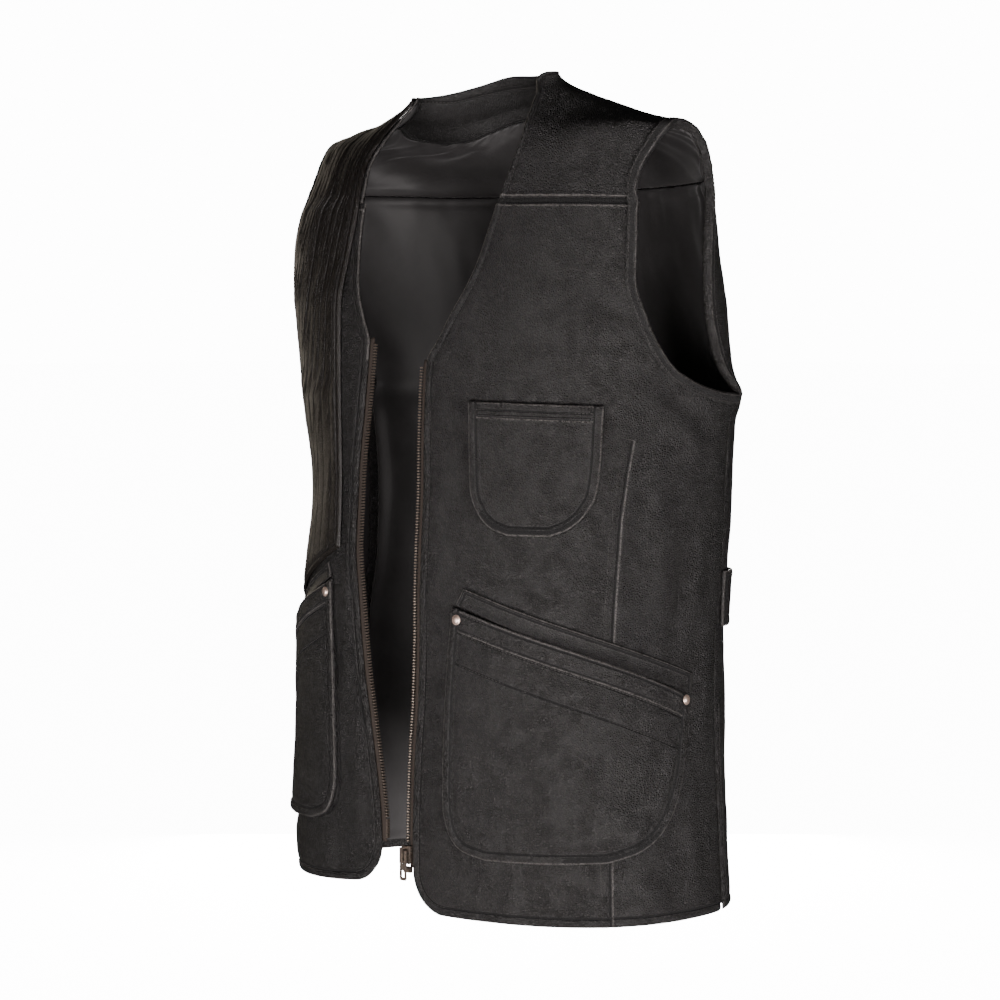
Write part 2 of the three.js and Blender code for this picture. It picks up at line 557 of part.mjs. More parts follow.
// Shooting patch.
const PATCH_EDGE = [
  { height: 262, inner: 62 }, { height: 343, inner: 66 }, { height: 409, inner: 72 },
  { height: 470, inner: 77 }, { height: 503, inner: 80 }, { height: 541, inner: 81 },
  { height: 572, inner: 82.5 }, { height: 600, inner: 84.5 },
];
const PATCH_ARM = [
  { height: 190, outer: 316 }, { height: 400, outer: 321 }, { height: 418, outer: 319 },
  { height: 421, outer: 309 }, { height: 425, outer: 291 }, { height: 433, outer: 271 },
  { height: 443, outer: 252 }, { height: 456, outer: 238.5 }, { height: 472, outer: 227.5 },
  { height: 489, outer: 219 }, { height: 522, outer: 204.5 }, { height: 557, outer: 199 },
  { height: 590, outer: 195 },
];
const readPatch = reader(PATCH_EDGE, 'height');
const readArm = reader(PATCH_ARM, 'height');
const PATCH_FOOT = { inner: 285, outer: 198 };   // it ends along the pocket band's top
const PATCH_TURN = 400;
const PATCH_ROWS = [-1, -0.7, -0.4, 400, 418, 421, 427, 435, 446, 460, 480, 505, 535, 562, 588];
function patchSpot(u, row) {
  const share = row < 0 ? 1 + row : 1;
  const top = row < 0 ? PATCH_TURN : row;
  const inner = mix(PATCH_FOOT.inner, top, share);
  const outer = mix(PATCH_FOOT.outer, top, share);
  const girth = mix(readPatch(inner, 'inner'), readArm(outer, 'outer'), u);
  const height = mix(inner, outer, u) + camber(u) * 0.5 * (1 - share);
  const s = spot(-girth, height);
  const lifted = height + smooth((height - 500) / 90) * (seamHeight(s.turn) - 590);
  return { turn: s.turn, climb: climbAt(lifted) };
}
const PATCH_WAYS = yokeWays.filter((w) => w > 0.05 && w < 0.5);
const patchRows = [...PATCH_ROWS.map((v) => ({ v })), ...PATCH_WAYS.map((way) => ({ way }))];
function patchGrid(u, row) {
  if (row.v !== undefined) return patchSpot(u, row.v);
  const neck = yokeSpot(0, row.way);
  const arm = yokeSpot(1, row.way);
  const run = bare(neck.turn, neck.climb).distanceTo(bare(arm.turn, arm.climb));
  const s = yokeSpot(mix(3.2 / run, 1 - (BINDING + 4 + 90 * Math.max(0, row.way - 0.4)) / run, u), row.way);
  return { turn: -s.turn, climb: s.climb };
}
const ribColumns = Array.from({ length: PATCH_RIBS * 2 + 1 }, (_, i) => i);
const ribOut = (i, row) => {
  const last = row === patchRows[0] || row === patchRows[patchRows.length - 1];
  if (i % 2 === 0 || last) return 2.7 + PATCH_PAD * (i === 0 || i === PATCH_RIBS * 2 || last ? 0.5 : 0.8);
  return 2.7 + PATCH_PAD + PATCH_RIB * (0.85 + 0.15 * Math.sin(i * 2.3 + patchRows.indexOf(row) * 1.7));
};
put('shooting_patch', wall(ribColumns, patchRows, (i, row) => patchGrid(i / (PATCH_RIBS * 2), row),
  () => 3.3, ribOut, true), quilt);

// Side tabs.
// Each bows off the leather between its sewn ends.
const TAB = { from: 331, to: 372, foot: 236, head: 283, under: 2.3, thick: 2, bow: 2.5 };
for (const { hand, sign } of HANDS) {
  const under = (u) => TAB.under + TAB.bow * Math.sin(Math.PI * u);
  const at = (u, v) => spot(sign * mix(TAB.from, TAB.to, u), mix(TAB.foot, TAB.head, v));
  put(`side_tab_${hand}`, wall(spread(6), spread(3), at, under, (u) => under(u) + TAB.thick, sign < 0), trim);
}

// Zip.
const ZIP_ROWS = spread(16, ZIP_FOOT, ZIP_HEAD);
for (const { hand, sign } of HANDS) {
  const at = (offset) => (u, h) => spot(sign * (readFront(h, hand) + mix(offset[0], offset[1], u)), h);
  put(`zip_tape_${hand}`, wall([0, 1], spread(17, TAPE_FOOT, ZIP_HEAD + 4), at([-4.4, 8]),
    () => -1.6, () => -0.6, sign < 0), tapeCloth);
  put(`zip_teeth_${hand}`, wall([0, 1], ZIP_ROWS, at([-8, -4.7]), () => -2.3, () => 0.9, sign < 0), brass);
}

// A small frame of axes on the body: x along the girth, y out, z up.
function seat(girth, height, out) {
  const foot = lay(girth, height, out);
  const outward = lay(girth, height, out + 5).sub(foot).setZ(0).normalize();
  const across = outward.clone().cross(new THREE.Vector3(0, 0, 1));
  return new THREE.Matrix4().makeBasis(across, outward, new THREE.Vector3(0, 0, 1)).setPosition(foot);
}
// Closed solids for joining and cutting, and back again.
function toManifold(geometry) {
  const bareGeometry = geometry.clone();
  bareGeometry.deleteAttribute('normal');
  bareGeometry.deleteAttribute('uv');
  const merged = BufferGeometryUtils.mergeVertices(bareGeometry, 1e-4);
  return new wasm.Manifold(new wasm.Mesh({
    numProp: 3,
    vertProperties: new Float32Array(merged.attributes.position.array),
    triVerts: new Uint32Array(merged.index.array),
  }));
}
function fromManifold(shape) {
  const mesh = shape.getMesh();
  const points = Array.from({ length: mesh.numVert }, (_, i) => new THREE.Vector3(
    ...mesh.vertProperties.slice(i * mesh.numProp, i * mesh.numProp + 3)));
  return solid(points, [...mesh.triVerts]);
}
const block = (size, at) => toManifold(new THREE.BoxGeometry(...size).translate(...at));
// A plate between two widths, standing in x and z with its thickness along y.
function plate(widthAbove, widthBelow, above, below, thickness) {
  const outline = new THREE.Shape([
    new THREE.Vector2(-widthBelow / 2, below), new THREE.Vector2(widthBelow / 2, below),
    new THREE.Vector2(widthAbove / 2, above), new THREE.Vector2(-widthAbove / 2, above),
  ]);
  const geometry = new THREE.ExtrudeGeometry(outline, { depth: thickness, bevelEnabled: false });
  return toManifold(geometry.translate(0, 0, -thickness / 2).rotateX(Math.PI / 2));
}
const SLIDER = { girth: readFront(45, 'left') - 5.5, height: 47, out: 1.9 };
const SLIDER_THICK = 3.2;
const ARCH = { wide: 2.2, wall: 1.4, foot: -5.2, head: 6.4, reach: 8.2 };   // the bridge the pull hangs on
const PULL = { out: 4.6, up: 3.2, thick: 1.4, wide: 7.4 };                   // the pull's crossbar and plate
const sliderSeat = seat(SLIDER.girth, SLIDER.height, SLIDER.out);
{
  const leg = (z) => block([ARCH.wide, ARCH.reach, ARCH.wall], [0, ARCH.reach / 2, z]);
  const bridge = block([ARCH.wide, ARCH.wall, ARCH.head - ARCH.foot + ARCH.wall],
    [0, ARCH.reach - ARCH.wall / 2, (ARCH.head + ARCH.foot) / 2]);
  const body = plate(10.5, 7.5, 7.5, -7.5, SLIDER_THICK);
  const joined = body.add(leg(ARCH.head)).add(leg(ARCH.foot)).add(bridge);
  const slider = put('zip_slider', fromManifold(joined), brass);
  slider.applyMatrix4(sliderSeat);
}
{
  const eye = block([3.4, 4, 9.2], [0, 0, -5.4]);
  const window = block([3.8, 4, 6], [0, 0, 5.4 - PULL_LENGTH]);
  const bar = plate(PULL.wide - 1, PULL.wide, 0.9, 1.6 - PULL_LENGTH, PULL.thick)
    .add(plate(PULL.wide, PULL.wide - 2, 1.65 - PULL_LENGTH, -PULL_LENGTH, PULL.thick));
  const pull = put('zip_pull', fromManifold(bar.subtract(eye).subtract(window)), brass);
  pull.applyMatrix4(sliderSeat.clone().multiply(new THREE.Matrix4().makeTranslation(0, PULL.out, PULL.up)));
}
// The separating end: the socket on the left under the slider and the pin on the right.
{
  const box = put('zip_box', new THREE.BoxGeometry(8, 3, 5), brass);
  box.applyMatrix4(seat(SLIDER.girth - 0.2, 34.5, 1.3));
  const pin = put('zip_pin', new THREE.BoxGeometry(2.2, 2.6, 16), brass);
  pin.applyMatrix4(seat(-(readFront(48, 'right') - 6.4), 48, -0.7));
}

export default vest;
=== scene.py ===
"""A leather shooting vest in its worn form, hollow, with its front open."""
import math

import bpy
import numpy as np
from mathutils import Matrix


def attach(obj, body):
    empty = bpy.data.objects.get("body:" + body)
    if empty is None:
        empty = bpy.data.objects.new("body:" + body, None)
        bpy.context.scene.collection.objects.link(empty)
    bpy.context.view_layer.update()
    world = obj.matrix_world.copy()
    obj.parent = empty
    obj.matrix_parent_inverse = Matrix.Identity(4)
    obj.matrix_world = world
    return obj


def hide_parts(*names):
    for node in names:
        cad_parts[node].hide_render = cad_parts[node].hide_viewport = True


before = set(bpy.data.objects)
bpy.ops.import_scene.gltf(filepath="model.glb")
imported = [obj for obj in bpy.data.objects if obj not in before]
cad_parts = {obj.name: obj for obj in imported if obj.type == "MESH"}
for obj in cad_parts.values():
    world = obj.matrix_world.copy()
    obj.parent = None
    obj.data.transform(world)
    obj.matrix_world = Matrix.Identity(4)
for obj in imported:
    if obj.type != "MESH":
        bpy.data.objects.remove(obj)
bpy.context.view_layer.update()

# Sizes in millimetres. Heights run up from the hem, girths out from the front's middle line.
LEATHER = 1.8
SEAM = 0.3
LINING = 1.1
BACK_SEAM = 610
SIDE_VENT = 177
VENT_HALF = 3
YOKE_SEAM_NECK, YOKE_SEAM_ARM = 593.5, 591.5
ZIP_FOOT, ZIP_HEAD = 58, 456
TAPE_FOOT = 36
HEM_CORNER = 34
BINDING = 8
PATCH_RIBS = 13
POCKET_FACE, POCKET_RIM = 1.6, 3.3
LOWER_CAMBER = 5                 # rise of a lower pocket's mouth between its corners
RIGHT_LIFT = 20
RIGHT_SHOULDER_DROP = 14
RIGHT_TWIST = math.radians(6)      # how far the right side is turned towards the front
ORIGIN = np.array((0.0, -30.0, 672.0))
TOPSTITCH = 7.5                  # how far topstitching runs from a turned edge
ON_LEATHER = LEATHER - 0.1       # where stitches lie on a panel
FRONT_TOP = 590                  # where the fronts' rows end, before they follow the yoke's seam
HANDS = (("left", 1), ("right", -1))

# Each list has one value for each section of the body, from the hem up: its height, half its width,
# its depth in front of and behind its middle, where that middle lies, and how square it is.
SECTIONS = dict(
    height=(0, 60, 150, 250, 345, 430, 500, 550, 600, 632, 646, 653, 658, 663, 669, 675, 682, 688,
            694, 700, 707, 713),
    half=(208, 208, 206, 203, 205, 211, 211, 210, 210, 210, 208, 203, 189, 171, 150, 130, 111, 96,
          87, 82, 79.5, 78),
    front=(150, 153, 158, 160, 156, 149, 141, 127, 112, 102, 96, 93, 91, 89, 86, 83, 79, 75,
           70, 65, 60, 57),
    back=(126, 124, 118, 112, 115, 120, 119, 112, 96, 76, 58, 46, 37, 31, 27, 23, 19, 8,
          1, -5, -10, -14),
    middle=(0, 0, 0, 0, 0, -1, -3, -5, -7, -9, -12, -15, -18, -21, -25, -29, -33, -37,
            -40, -42, -42, -42),
    square=(2.4, 2.4, 2.4, 2.4, 2.4, 2.4, 2.4, 2.4, 2.3, 2.2, 2.1, 2, 1.9, 1.85, 1.8, 1.8, 1.85, 1.9,
            1.95, 2, 2, 2),
    squareBack=(2.3, 2.3, 2.3, 2.25, 2.3, 2.2, 2.05, 1.95, 1.9, 1.85, 1.8, 1.75, 1.7, 1.65, 1.65, 1.65,
                1.65, 1.6, 1.55, 1.5, 1.45, 1.45),
)
# Soft pushes of the leather: turn and height of the middle, width, tallness and push.
DRAPE = (
    (-55, 335, 28, 95, -14), (-55, 20, 30, 80, 3), (122, 345, 24, 95, 6), (-66, 570, 22, 80, 14),
    (100, 430, 11, 15, 8), (-100, 430, 11, 15, 6), (-50, 150, 24, 70, -4), (126, 90, 28, 130, -8),
    (50, 250, 16, 130, 3), (78, 385, 9, 60, -3), (-160, 250, 18, 170, 4), (165, 180, 14, 150, 3),
)
FRONT_EDGE = dict(
    height=(0, 54, 93, 140, 177, 240, 290, 343, 400, 457, 464, 476, 497, 522, 545, 563, 581, 600),
    left=(22, 23, 26, 31, 35, 38, 38, 38, 35, 33, 35, 43, 54, 67, 74, 77, 80, 82),
    right=(15, 15, 18, 24, 30, 37, 43, 43, 39, 37, 39, 46, 55, 64, 71, 75, 78, 80),
)
SIDE_EDGE = dict(
    height=(0, 177, 226, 284, 400, 430, 432, 436, 443, 452, 464, 478, 493, 525, 558, 590, 610),
    front=(325, 320, 321, 329, 331, 330, 311, 294, 275, 258, 246, 236, 228, 214, 209, 205, 205),
    back=(325, 320, 321, 329, 331, 331, 332, 331, 325, 317, 309, 302, 296, 288, 283, 281, 281),
)
YOKE = dict(
    way=(0, 0.12, 0.22, 0.31, 0.39, 0.46, 0.52, 0.58, 0.64, 0.76, 0.88, 1),
    neckTurn=(38.6, 44, 51.8, 61, 73, 86, 98, 110, 122, 141, 161, 180),
    neckHeight=(YOKE_SEAM_NECK, 626, 655, 671, 687, 703, 704, 704, 704, 704.5, 705.5, 706),
    outTurn=(73.4, 75.5, 79.2, 83.5, 88, 91.5, 93.2, 94.8, 96.2, 119, 150, 180),
    outHeight=(YOKE_SEAM_ARM, 614, 634, 648, 654, 652.5, 641, 626, 610, 610, 610, 610),
)
LOWER_POCKET = dict(
    way=(0, 0.3, 0.5, 0.7, 0.83, 0.93, 1),
    inGirth=(74, 68, 66, 65, 69, 81, 104), inHeight=(258, 186, 137, 95, 74, 59, 53),
    outGirth=(281, 275, 269, 257, 243, 224, 200), outHeight=(182, 152, 123, 93, 74, 61, 54),
)
CHEST_POCKET = dict(
    way=(0, 0.4, 0.65, 0.83, 0.94, 1),
    inGirth=(82, 86, 89, 98, 110, 124), inHeight=(426, 382, 352, 333, 322, 317),
    outGirth=(197, 196, 193, 184, 172, 158), outHeight=(423, 381, 352, 334, 323, 317),
)
PATCH_EDGE = dict(
    height=(262, 343, 409, 470, 503, 541, 572, 600),
    inner=(62, 66, 72, 77, 80, 81, 82.5, 84.5),
)
PATCH_ARM = dict(
    height=(190, 400, 418, 421, 425, 433, 443, 456, 472, 489, 522, 557, 590),
    outer=(316, 321, 319, 309, 291, 271, 252, 238.5, 227.5, 219, 204.5, 199, 195),
)
PATCH_FOOT = (285, 198)          # heights of the patch's slanted foot at its two edges
PATCH_TURN = 400                 # the patch's rows are level from here up
# How far out a pocket's face lies at its mouth and its foot, and how much it swells between.
POCKET_OUT = {"left": (8.6, 9.0, 2.0), "right": (7.6, 6.8, 0.5), "chest": (3.6, 4.6, 1.0)}


def smooth(t):
    t = np.clip(t, 0, 1)
    return t * t * (3 - 2 * t)


def mix(a, b, t):
    return a + (b - a) * t


def bell(away, width):
    """A soft bump of height 1 at no distance."""
    return np.exp(-((away / width) ** 2))


def run_along(points):
    """The length from the first of some points to each of them."""
    return np.concatenate(([0], np.cumsum(np.linalg.norm(np.diff(points, axis=0), axis=1))))


class Table:
    """Smooth reading of a table by one of its columns."""

    def __init__(self, rows, along):
        self.keys = np.array(rows[along], float)
        self.columns = {name: np.array(values, float) for name, values in rows.items()}
        self.slopes = {name: self.slope(values) for name, values in self.columns.items()}

    def slope(self, values):
        step = np.diff(values) / np.diff(self.keys)
        inner = np.zeros(len(step) - 1)
        same = step[:-1] * step[1:] > 0
        total = np.where(same, step[:-1] + step[1:], 1)
        inner[same] = (2 * step[:-1] * step[1:] / total)[same]
        return np.concatenate(([step[0]], inner, [step[-1]]))

    def __call__(self, where, name):
        where = np.asarray(where, float)
        i = np.clip(np.searchsorted(self.keys, where) - 1, 0, len(self.keys) - 2)
        width = self.keys[i + 1] - self.keys[i]
        t = np.clip((where - self.keys[i]) / width, 0, 1)
        value, slope = self.columns[name], self.slopes[name]
        return ((2 * t**3 - 3 * t**2 + 1) * value[i] + (t**3 - 2 * t**2 + t) * width * slope[i]
                + (3 * t**2 - 2 * t**3) * value[i + 1] + (t**3 - t**2) * width * slope[i + 1])


# The climb runs along the outline of the sections, so it also works over the shoulders.
steps = np.hypot(np.diff(SECTIONS["height"]), np.diff(SECTIONS["half"]))
SECTIONS["climb"] = np.concatenate(([0], np.cumsum(steps)))
CLIMBED = SECTIONS["climb"][-1]
section = Table(SECTIONS, "climb")
front_edge = Table(FRONT_EDGE, "height")
side_edge = Table(SIDE_EDGE, "height")
yoke_edge = Table(YOKE, "way")
lower_outline = Table(LOWER_POCKET, "way")
chest_outline = Table(CHEST_POCKET, "way")
patch_edge = Table(PATCH_EDGE, "height")
patch_arm = Table(PATCH_ARM, "height")
fine_climbs = np.linspace(0, CLIMBED, 4001)
fine_heights = section(fine_climbs, "height")


def climb_at(height):
    return np.interp(height, fine_heights, fine_climbs)


def bare(turn, climb):
    """The body surface under the leather."""
    turn, climb = np.broadcast_arrays(turn, climb)
    side, ahead = np.sin(turn), np.cos(turn)
    middle = section(climb, "middle")
    fore = ahead > 0
    depth = np.where(fore, section(climb, "front") + middle, section(climb, "back") - middle)
    n = np.where(fore, section(climb, "square"), section(climb, "squareBack"))
    r = (np.abs(side / section(climb, "half")) ** n + np.abs(ahead / depth) ** n) ** (-1 / n)
    return np.stack((r * side, middle - r * ahead, section(climb, "height")), -1)


def unit(v):
    return v / np.maximum(np.linalg.norm(v, axis=-1, keepdims=True), 1e-9)


def bare_normal(turn, climb):
    a = bare(turn + 0.004, climb) - bare(turn - 0.004, climb)
    b = bare(turn, np.minimum(climb + 0.6, CLIMBED)) - bare(turn, np.maximum(climb - 0.6, 0))
    return unit(np.cross(a, b))


def drape(turn, height):
    push = 0
    for middle, level, wide, tall, depth in DRAPE:
        away = np.degrees(turn) - middle
        away = away - 360 * np.round(away / 360)
        push = push + depth * np.exp(-((away / wide) ** 2) - ((height - level) / tall) ** 2)
    return push


def hang(p):
    """The right front rides up and the right shoulder lies lower."""
    x, y, z = p[..., 0], p[..., 1], p[..., 2]
    reach = np.hypot(x + 25, y + 150)
    lift = RIGHT_LIFT * np.exp(-reach / 120) * smooth((8 - x) / 16)
    lift = lift * smooth((20 - y) / 100) * (1 - smooth((z - 470) / 120))
    drop = RIGHT_SHOULDER_DROP * smooth(-x / 90) * (1 - 0.5 * smooth((-x - 95) / 100))
    drop = drop * smooth((z - 585) / 80)
    return np.stack((x, y, z + lift - drop), -1)


def twist(turn, climb):
    """The right side is turned forward a little, with its armhole and its seam."""
    back = -np.degrees(turn)
    share = smooth((back - 35) / 60) * (1 - smooth((back - 100) / 75))
    return turn + RIGHT_TWIST * share * (1 - smooth((climb - 610) / 110))


def garment(turn, climb, out):
    """Points in metres, at a distance out from the panels' inner face."""
    turn = twist(turn, climb)
    p = bare(turn, climb)
    away = drape(turn, p[..., 2]) + out
    return (hang(p + bare_normal(turn, climb) * away[..., None]) - ORIGIN) / 1000


# Girth along each level, measured once.
LEVELS = np.arange(0, 713.1, 2.0)
TURNS = np.linspace(0, math.pi, 121)
ring = bare(TURNS[None, :], climb_at(LEVELS)[:, None])
GIRTHS = np.concatenate((np.zeros((len(LEVELS), 1)),
                         np.cumsum(np.linalg.norm(np.diff(ring, axis=1), axis=2), axis=1)), axis=1)


def girth_rows(height):
    where = np.clip(np.asarray(height, float) / 2.0, 0, len(LEVELS) - 1.001)
    i = where.astype(int)
    t = (where - i)[..., None]
    return GIRTHS[i] * (1 - t) + GIRTHS[i + 1] * t


def turn_at(girth, height):
    girth, height = np.broadcast_arrays(np.asarray(girth, float), np.asarray(height, float))
    rows = girth_rows(height)
    size = np.minimum(np.abs(girth), rows[..., -1] - 1e-6)
    i = np.clip((rows <= size[..., None]).sum(-1) - 1, 0, 119)
    low = np.take_along_axis(rows, i[..., None], -1)[..., 0]
    high = np.take_along_axis(rows, i[..., None] + 1, -1)[..., 0]
    return np.sign(girth) * mix(TURNS[i], TURNS[i + 1], (size - low) / (high - low))


def spot_at(sign, girth, height):
    """The turn and the climb at a girth and a height on the left side, 1, or the right one, -1."""
    return turn_at(sign * girth, height), climb_at(height)


def half_girth(height):
    return girth_rows(height)[..., -1]


def lay(girth, height, out):
    girth, height = np.broadcast_arrays(np.asarray(girth, float), np.asarray(height, float))
    return garment(turn_at(girth, height), climb_at(height), out + 0 * girth)


# Wrinkles and noise.
def lattice(i, j, seed):
    h = np.sin(i * 127.1 + j * 311.7 + seed * 74.7) * 43758.5453
    return h - np.floor(h)


def noise(x, y, seed=0):
    """Smooth noise from -1 to 1, one lump for each unit of x and y."""
    i, j = np.floor(x), np.floor(y)
    s, t = smooth(x - i), smooth(y - j)
    low = mix(lattice(i, j, seed), lattice(i + 1, j, seed), s)
    high = mix(lattice(i, j + 1, seed), lattice(i + 1, j + 1, seed), s)
    return 2 * mix(low, high, t) - 1


def crumple(girth, height, seed, size=1.0):
    """Soft unevenness of worn leather, in millimetres."""
    bend = 9 * noise(girth / 41, height / 57, seed + 1)
    broad = 0.8 * noise((girth + bend) / 34, height / 62, seed + 2)
    ripple = 0.34 * noise((girth - bend) / 13, (height + bend) / 19, seed + 3)
    fine = 0.12 * noise(girth / 5.3, height / 6.1, seed + 4)
    ridge = 0.45 * (1 - np.abs(noise((girth + 2 * bend) / 27, (height - bend) / 48, seed + 5))) ** 5
    return size * (broad + ripple + fine + ridge)


def fold(girth, height, start, end, width, rise, valley=0.5):
    """A long soft ridge from start to end, with a shallower valley beside it."""
    ax, ay = start
    bx, by = end
    run = math.hypot(bx - ax, by - ay)
    dx, dy = (bx - ax) / run, (by - ay) / run
    along = ((girth - ax) * dx + (height - ay) * dy) / run
    aside = (girth - ax) * dy - (height - ay) * dx
    taper = np.where((along > 0) & (along < 1), np.sin(np.pi * np.clip(along, 0, 1)), 0) ** 0.8
    ridge = bell(aside, width) - valley * bell(aside - 1.9 * width, width)
    return rise * taper * ridge


def add_folds(relief, girth, height, folds, share=1):
    for start, end, width, rise, valley in folds:
        relief = relief + fold(girth, height, start, end, width, rise, valley) * share
    return relief


def to_line(x, y, line):
    """Distance to a line of points, and how far along it the nearest place lies."""
    line = np.asarray(line, float)
    best = np.full(x.shape, 1e9)
    where = np.zeros(x.shape)
    done = 0.0
    for (ax, ay), (bx, by) in zip(line[:-1], line[1:]):
        run = math.hypot(bx - ax, by - ay)
        t = np.clip(((x - ax) * (bx - ax) + (y - ay) * (by - ay)) / max(run * run, 1e-9), 0, 1)
        away = np.hypot(x - ax - t * (bx - ax), y - ay - t * (by - ay))
        closer = away < best
        where = np.where(closer, done + t * run, where)
        best = np.where(closer, away, best)
        done += run
    return best, where


def inward_from(line):
    """The way inwards at each point of a line that runs round a piece."""
    tangent = unit(np.gradient(line, axis=0))
    return np.stack((-tangent[:, 1], tangent[:, 0]), -1)


FAR = 9.0                        # a distance at which a line no longer shows


def only(where, away):
    """A distance where a condition holds, and no line elsewhere."""
    return np.where(where, away, FAR)


def nearest(first, *others):
    """The distance of smallest size, with its sign."""
    best = first
    for other in others:
        best = np.where(np.abs(other) < np.abs(best), other, best)
    return best


def turned_edge(away, bead=0.7):
    """The profile of a turned and topstitched edge: rounded lip, soft bead, sunk stitch line."""
    lip = -1.1 * np.exp(-away / 0.7)
    swell = bead * bell(away - 3.6, 2.4)
    sunk = -0.45 * bell(away - TOPSTITCH, 1.1)
    return lip + swell + sunk


# Shader maths.
class Socket:
    """A node's output in a Python expression."""

    def __init__(self, shader, output):
        self.shader = shader
        self.output = output

    def math(self, operation, *values):
        return self.shader.node("ShaderNodeMath", {"operation": operation}, dict(enumerate(values)))

    def __abs__(self):
        return self.math("ABSOLUTE", self)

    def __add__(self, other):
        return self.math("ADD", self, other)

    def __sub__(self, other):
        return self.math("SUBTRACT", self, other)

    def __rsub__(self, other):
        return self.math("SUBTRACT", other, self)

    def __mul__(self, other):
        return self.math("MULTIPLY", self, other)

    __radd__ = __add__
    __rmul__ = __mul__


class Shader:
    """A material's node tree, built from expressions."""

    def __init__(self, name, **constants):
        self.material = bpy.data.materials.new(name)
        self.material.use_nodes = True
        self.tree = self.material.node_tree
        self.skin = self.tree.nodes["Principled BSDF"]
        for socket, value in constants.items():
            self.skin.inputs[socket.replace("_", " ")].default_value = value
        self.place = self.node("ShaderNodeTexCoord", output="Object")

    def node(self, kind, settings=None, values=None, output=0):
        made = self.tree.nodes.new(kind)
        for name, value in (settings or {}).items():
            setattr(made, name, value)
        for name, value in (values or {}).items():
            if isinstance(value, Socket):
                self.tree.links.new(value.output, made.inputs[name])
            else:
                made.inputs[name].default_value = value
        return Socket(self, made.outputs[output])

    def noise(self, scale, detail=3, rough=0.5, place=None):
        values = {"Vector": place or self.place, "Scale": scale, "Detail": detail, "Roughness": rough}
        return self.node("ShaderNodeTexNoise", {}, values)

    def cells(self, scale):
        values = {"Vector": self.place, "Scale": scale}
        return self.node("ShaderNodeTexVoronoi", {"feature": "DISTANCE_TO_EDGE"}, values)

    def stretched(self, x, y, z):
        return self.node("ShaderNodeMapping", {}, {"Vector": self.place, "Scale": (x, y, z)})

    def attribute(self, name):
        return self.node("ShaderNodeAttribute", {"attribute_name": name}, output="Fac")

    def step(self, value, low, high):
        settings = {"interpolation_type": "SMOOTHSTEP"}
        values = {"Value": value, "From Min": low, "From Max": high}
        return self.node("ShaderNodeMapRange", settings, values)

    def blend(self, share, first, second):
        colors = [color if isinstance(color, Socket) else (*color, 1) for color in (first, second)]
        values = {0: share, 6: colors[0], 7: colors[1]}
        return self.node("ShaderNodeMix", {"data_type": "RGBA"}, values, 2)

    def bump(self, height, depth, strength=1.0, under=None):
        values = {"Height": height, "Distance": depth, "Strength": strength}
        if under:
            values["Normal"] = under
        return self.node("ShaderNodeBump", {}, values)

    def feed(self, **links):
        for socket, value in links.items():
            self.tree.links.new(value.output, self.skin.inputs[socket.replace("_", " ")])
        return self.material


WEAR_AND_HIGHLIGHT = (0.1, 0.093, 0.088)      # the colour of lighter edge lines: worn leather, and painted highlight on raised lips


def leather(name, dark, light, rough, grain=1.0, cell=470, sewn=1.0):
    """Grained leather: clustered pebbles, fine creases, dark lines for stitching and for painted shade, and
    lighter edges that are worn and carry painted highlight.
    """
    shader = Shader(name, Specular_IOR_Level=0.5)
    clouds = shader.noise(16, 4, 0.6)
    clusters = shader.step(shader.noise(70, 3, 0.6), 0.35, 0.65)
    pebbles = shader.step(shader.cells(cell), 0.0, 0.3)
    small = shader.step(shader.cells(cell * 2.1), 0.0, 0.3)
    pores = shader.noise(2600, 2)
    lumps = shader.noise(430, 3, 0.65)
    height = pebbles * (0.35 + clusters * 0.5) + small * 0.3 + pores * 0.2 + lumps * 0.9
    normal = shader.bump(height, 0.0009 * grain, 1.0)
    tone = shader.step(clouds * 0.2 + pebbles * 0.25 + lumps * 0.9, 0.5, 0.95)
    color = shader.blend(tone, dark, light)
    roughness = rough + clouds * 0.08 - tone * 0.1 + pores * 0.06
    # Dark lines: stitching, and painted shade along edges, in hollows and round pockets.
    line = 1 - (1 - shader.step(abs(shader.attribute("stitch_and_shade")), 0.5, 1.3)) * sewn
    normal = shader.bump(line, 0.0007, 1.0, normal)
    color = shader.blend(line, tuple(q * 0.1 for q in dark), color)
    # Lighter edge lines: worn leather, and painted highlight where raised lips and beads catch the light.
    wear_and_highlight = 1 - shader.step(abs(shader.attribute("wear_and_highlight")), 0.25, 0.95)
    wear_and_highlight = wear_and_highlight * shader.step(lumps + pebbles * 0.2, 0.3, 0.7) * (0.75 * sewn)
    color = shader.blend(wear_and_highlight, color, WEAR_AND_HIGHLIGHT)
    roughness = roughness + (1 - line) * 0.5
    return shader.feed(Base_Color=color, Roughness=roughness, Normal=normal)


def satin(name, dark, light):
    """Black satin lining with a fine weave and a soft sheen."""
    shader = Shader(name, Specular_IOR_Level=0.55, Sheen_Weight=0.12, Sheen_Roughness=0.4)
    threads = shader.noise(1.0, 2, 0.5, shader.stretched(900, 900, 4200))
    clouds = shader.noise(22, 3)
    normal = shader.bump(threads, 0.00005, 0.6)
    color = shader.blend(shader.step(clouds, 0.3, 0.8), dark, light)
    return shader.feed(Base_Color=color, Roughness=0.52 + clouds * 0.16 + threads * 0.06, Normal=normal)


def metal(name, deep, bright, rough):
    """Antiqued metal: dark and worn bright patches from noise, with fine scratches."""
    shader = Shader(name)
    worn = shader.noise(900, 4, 0.65)
    scratches = shader.noise(1.0, 3, 0.6, shader.stretched(2600, 2600, 500))
    share = shader.step(worn * 0.7 + scratches * 0.3, 0.36, 0.62)
    color = shader.blend(share, deep, bright)
    normal = shader.bump(worn + scratches, 0.00004, 0.5)
    return shader.feed(Base_Color=color, Roughness=rough + (1 - share) * 0.25,
                       Metallic=0.75 + share * 0.25, Normal=normal)


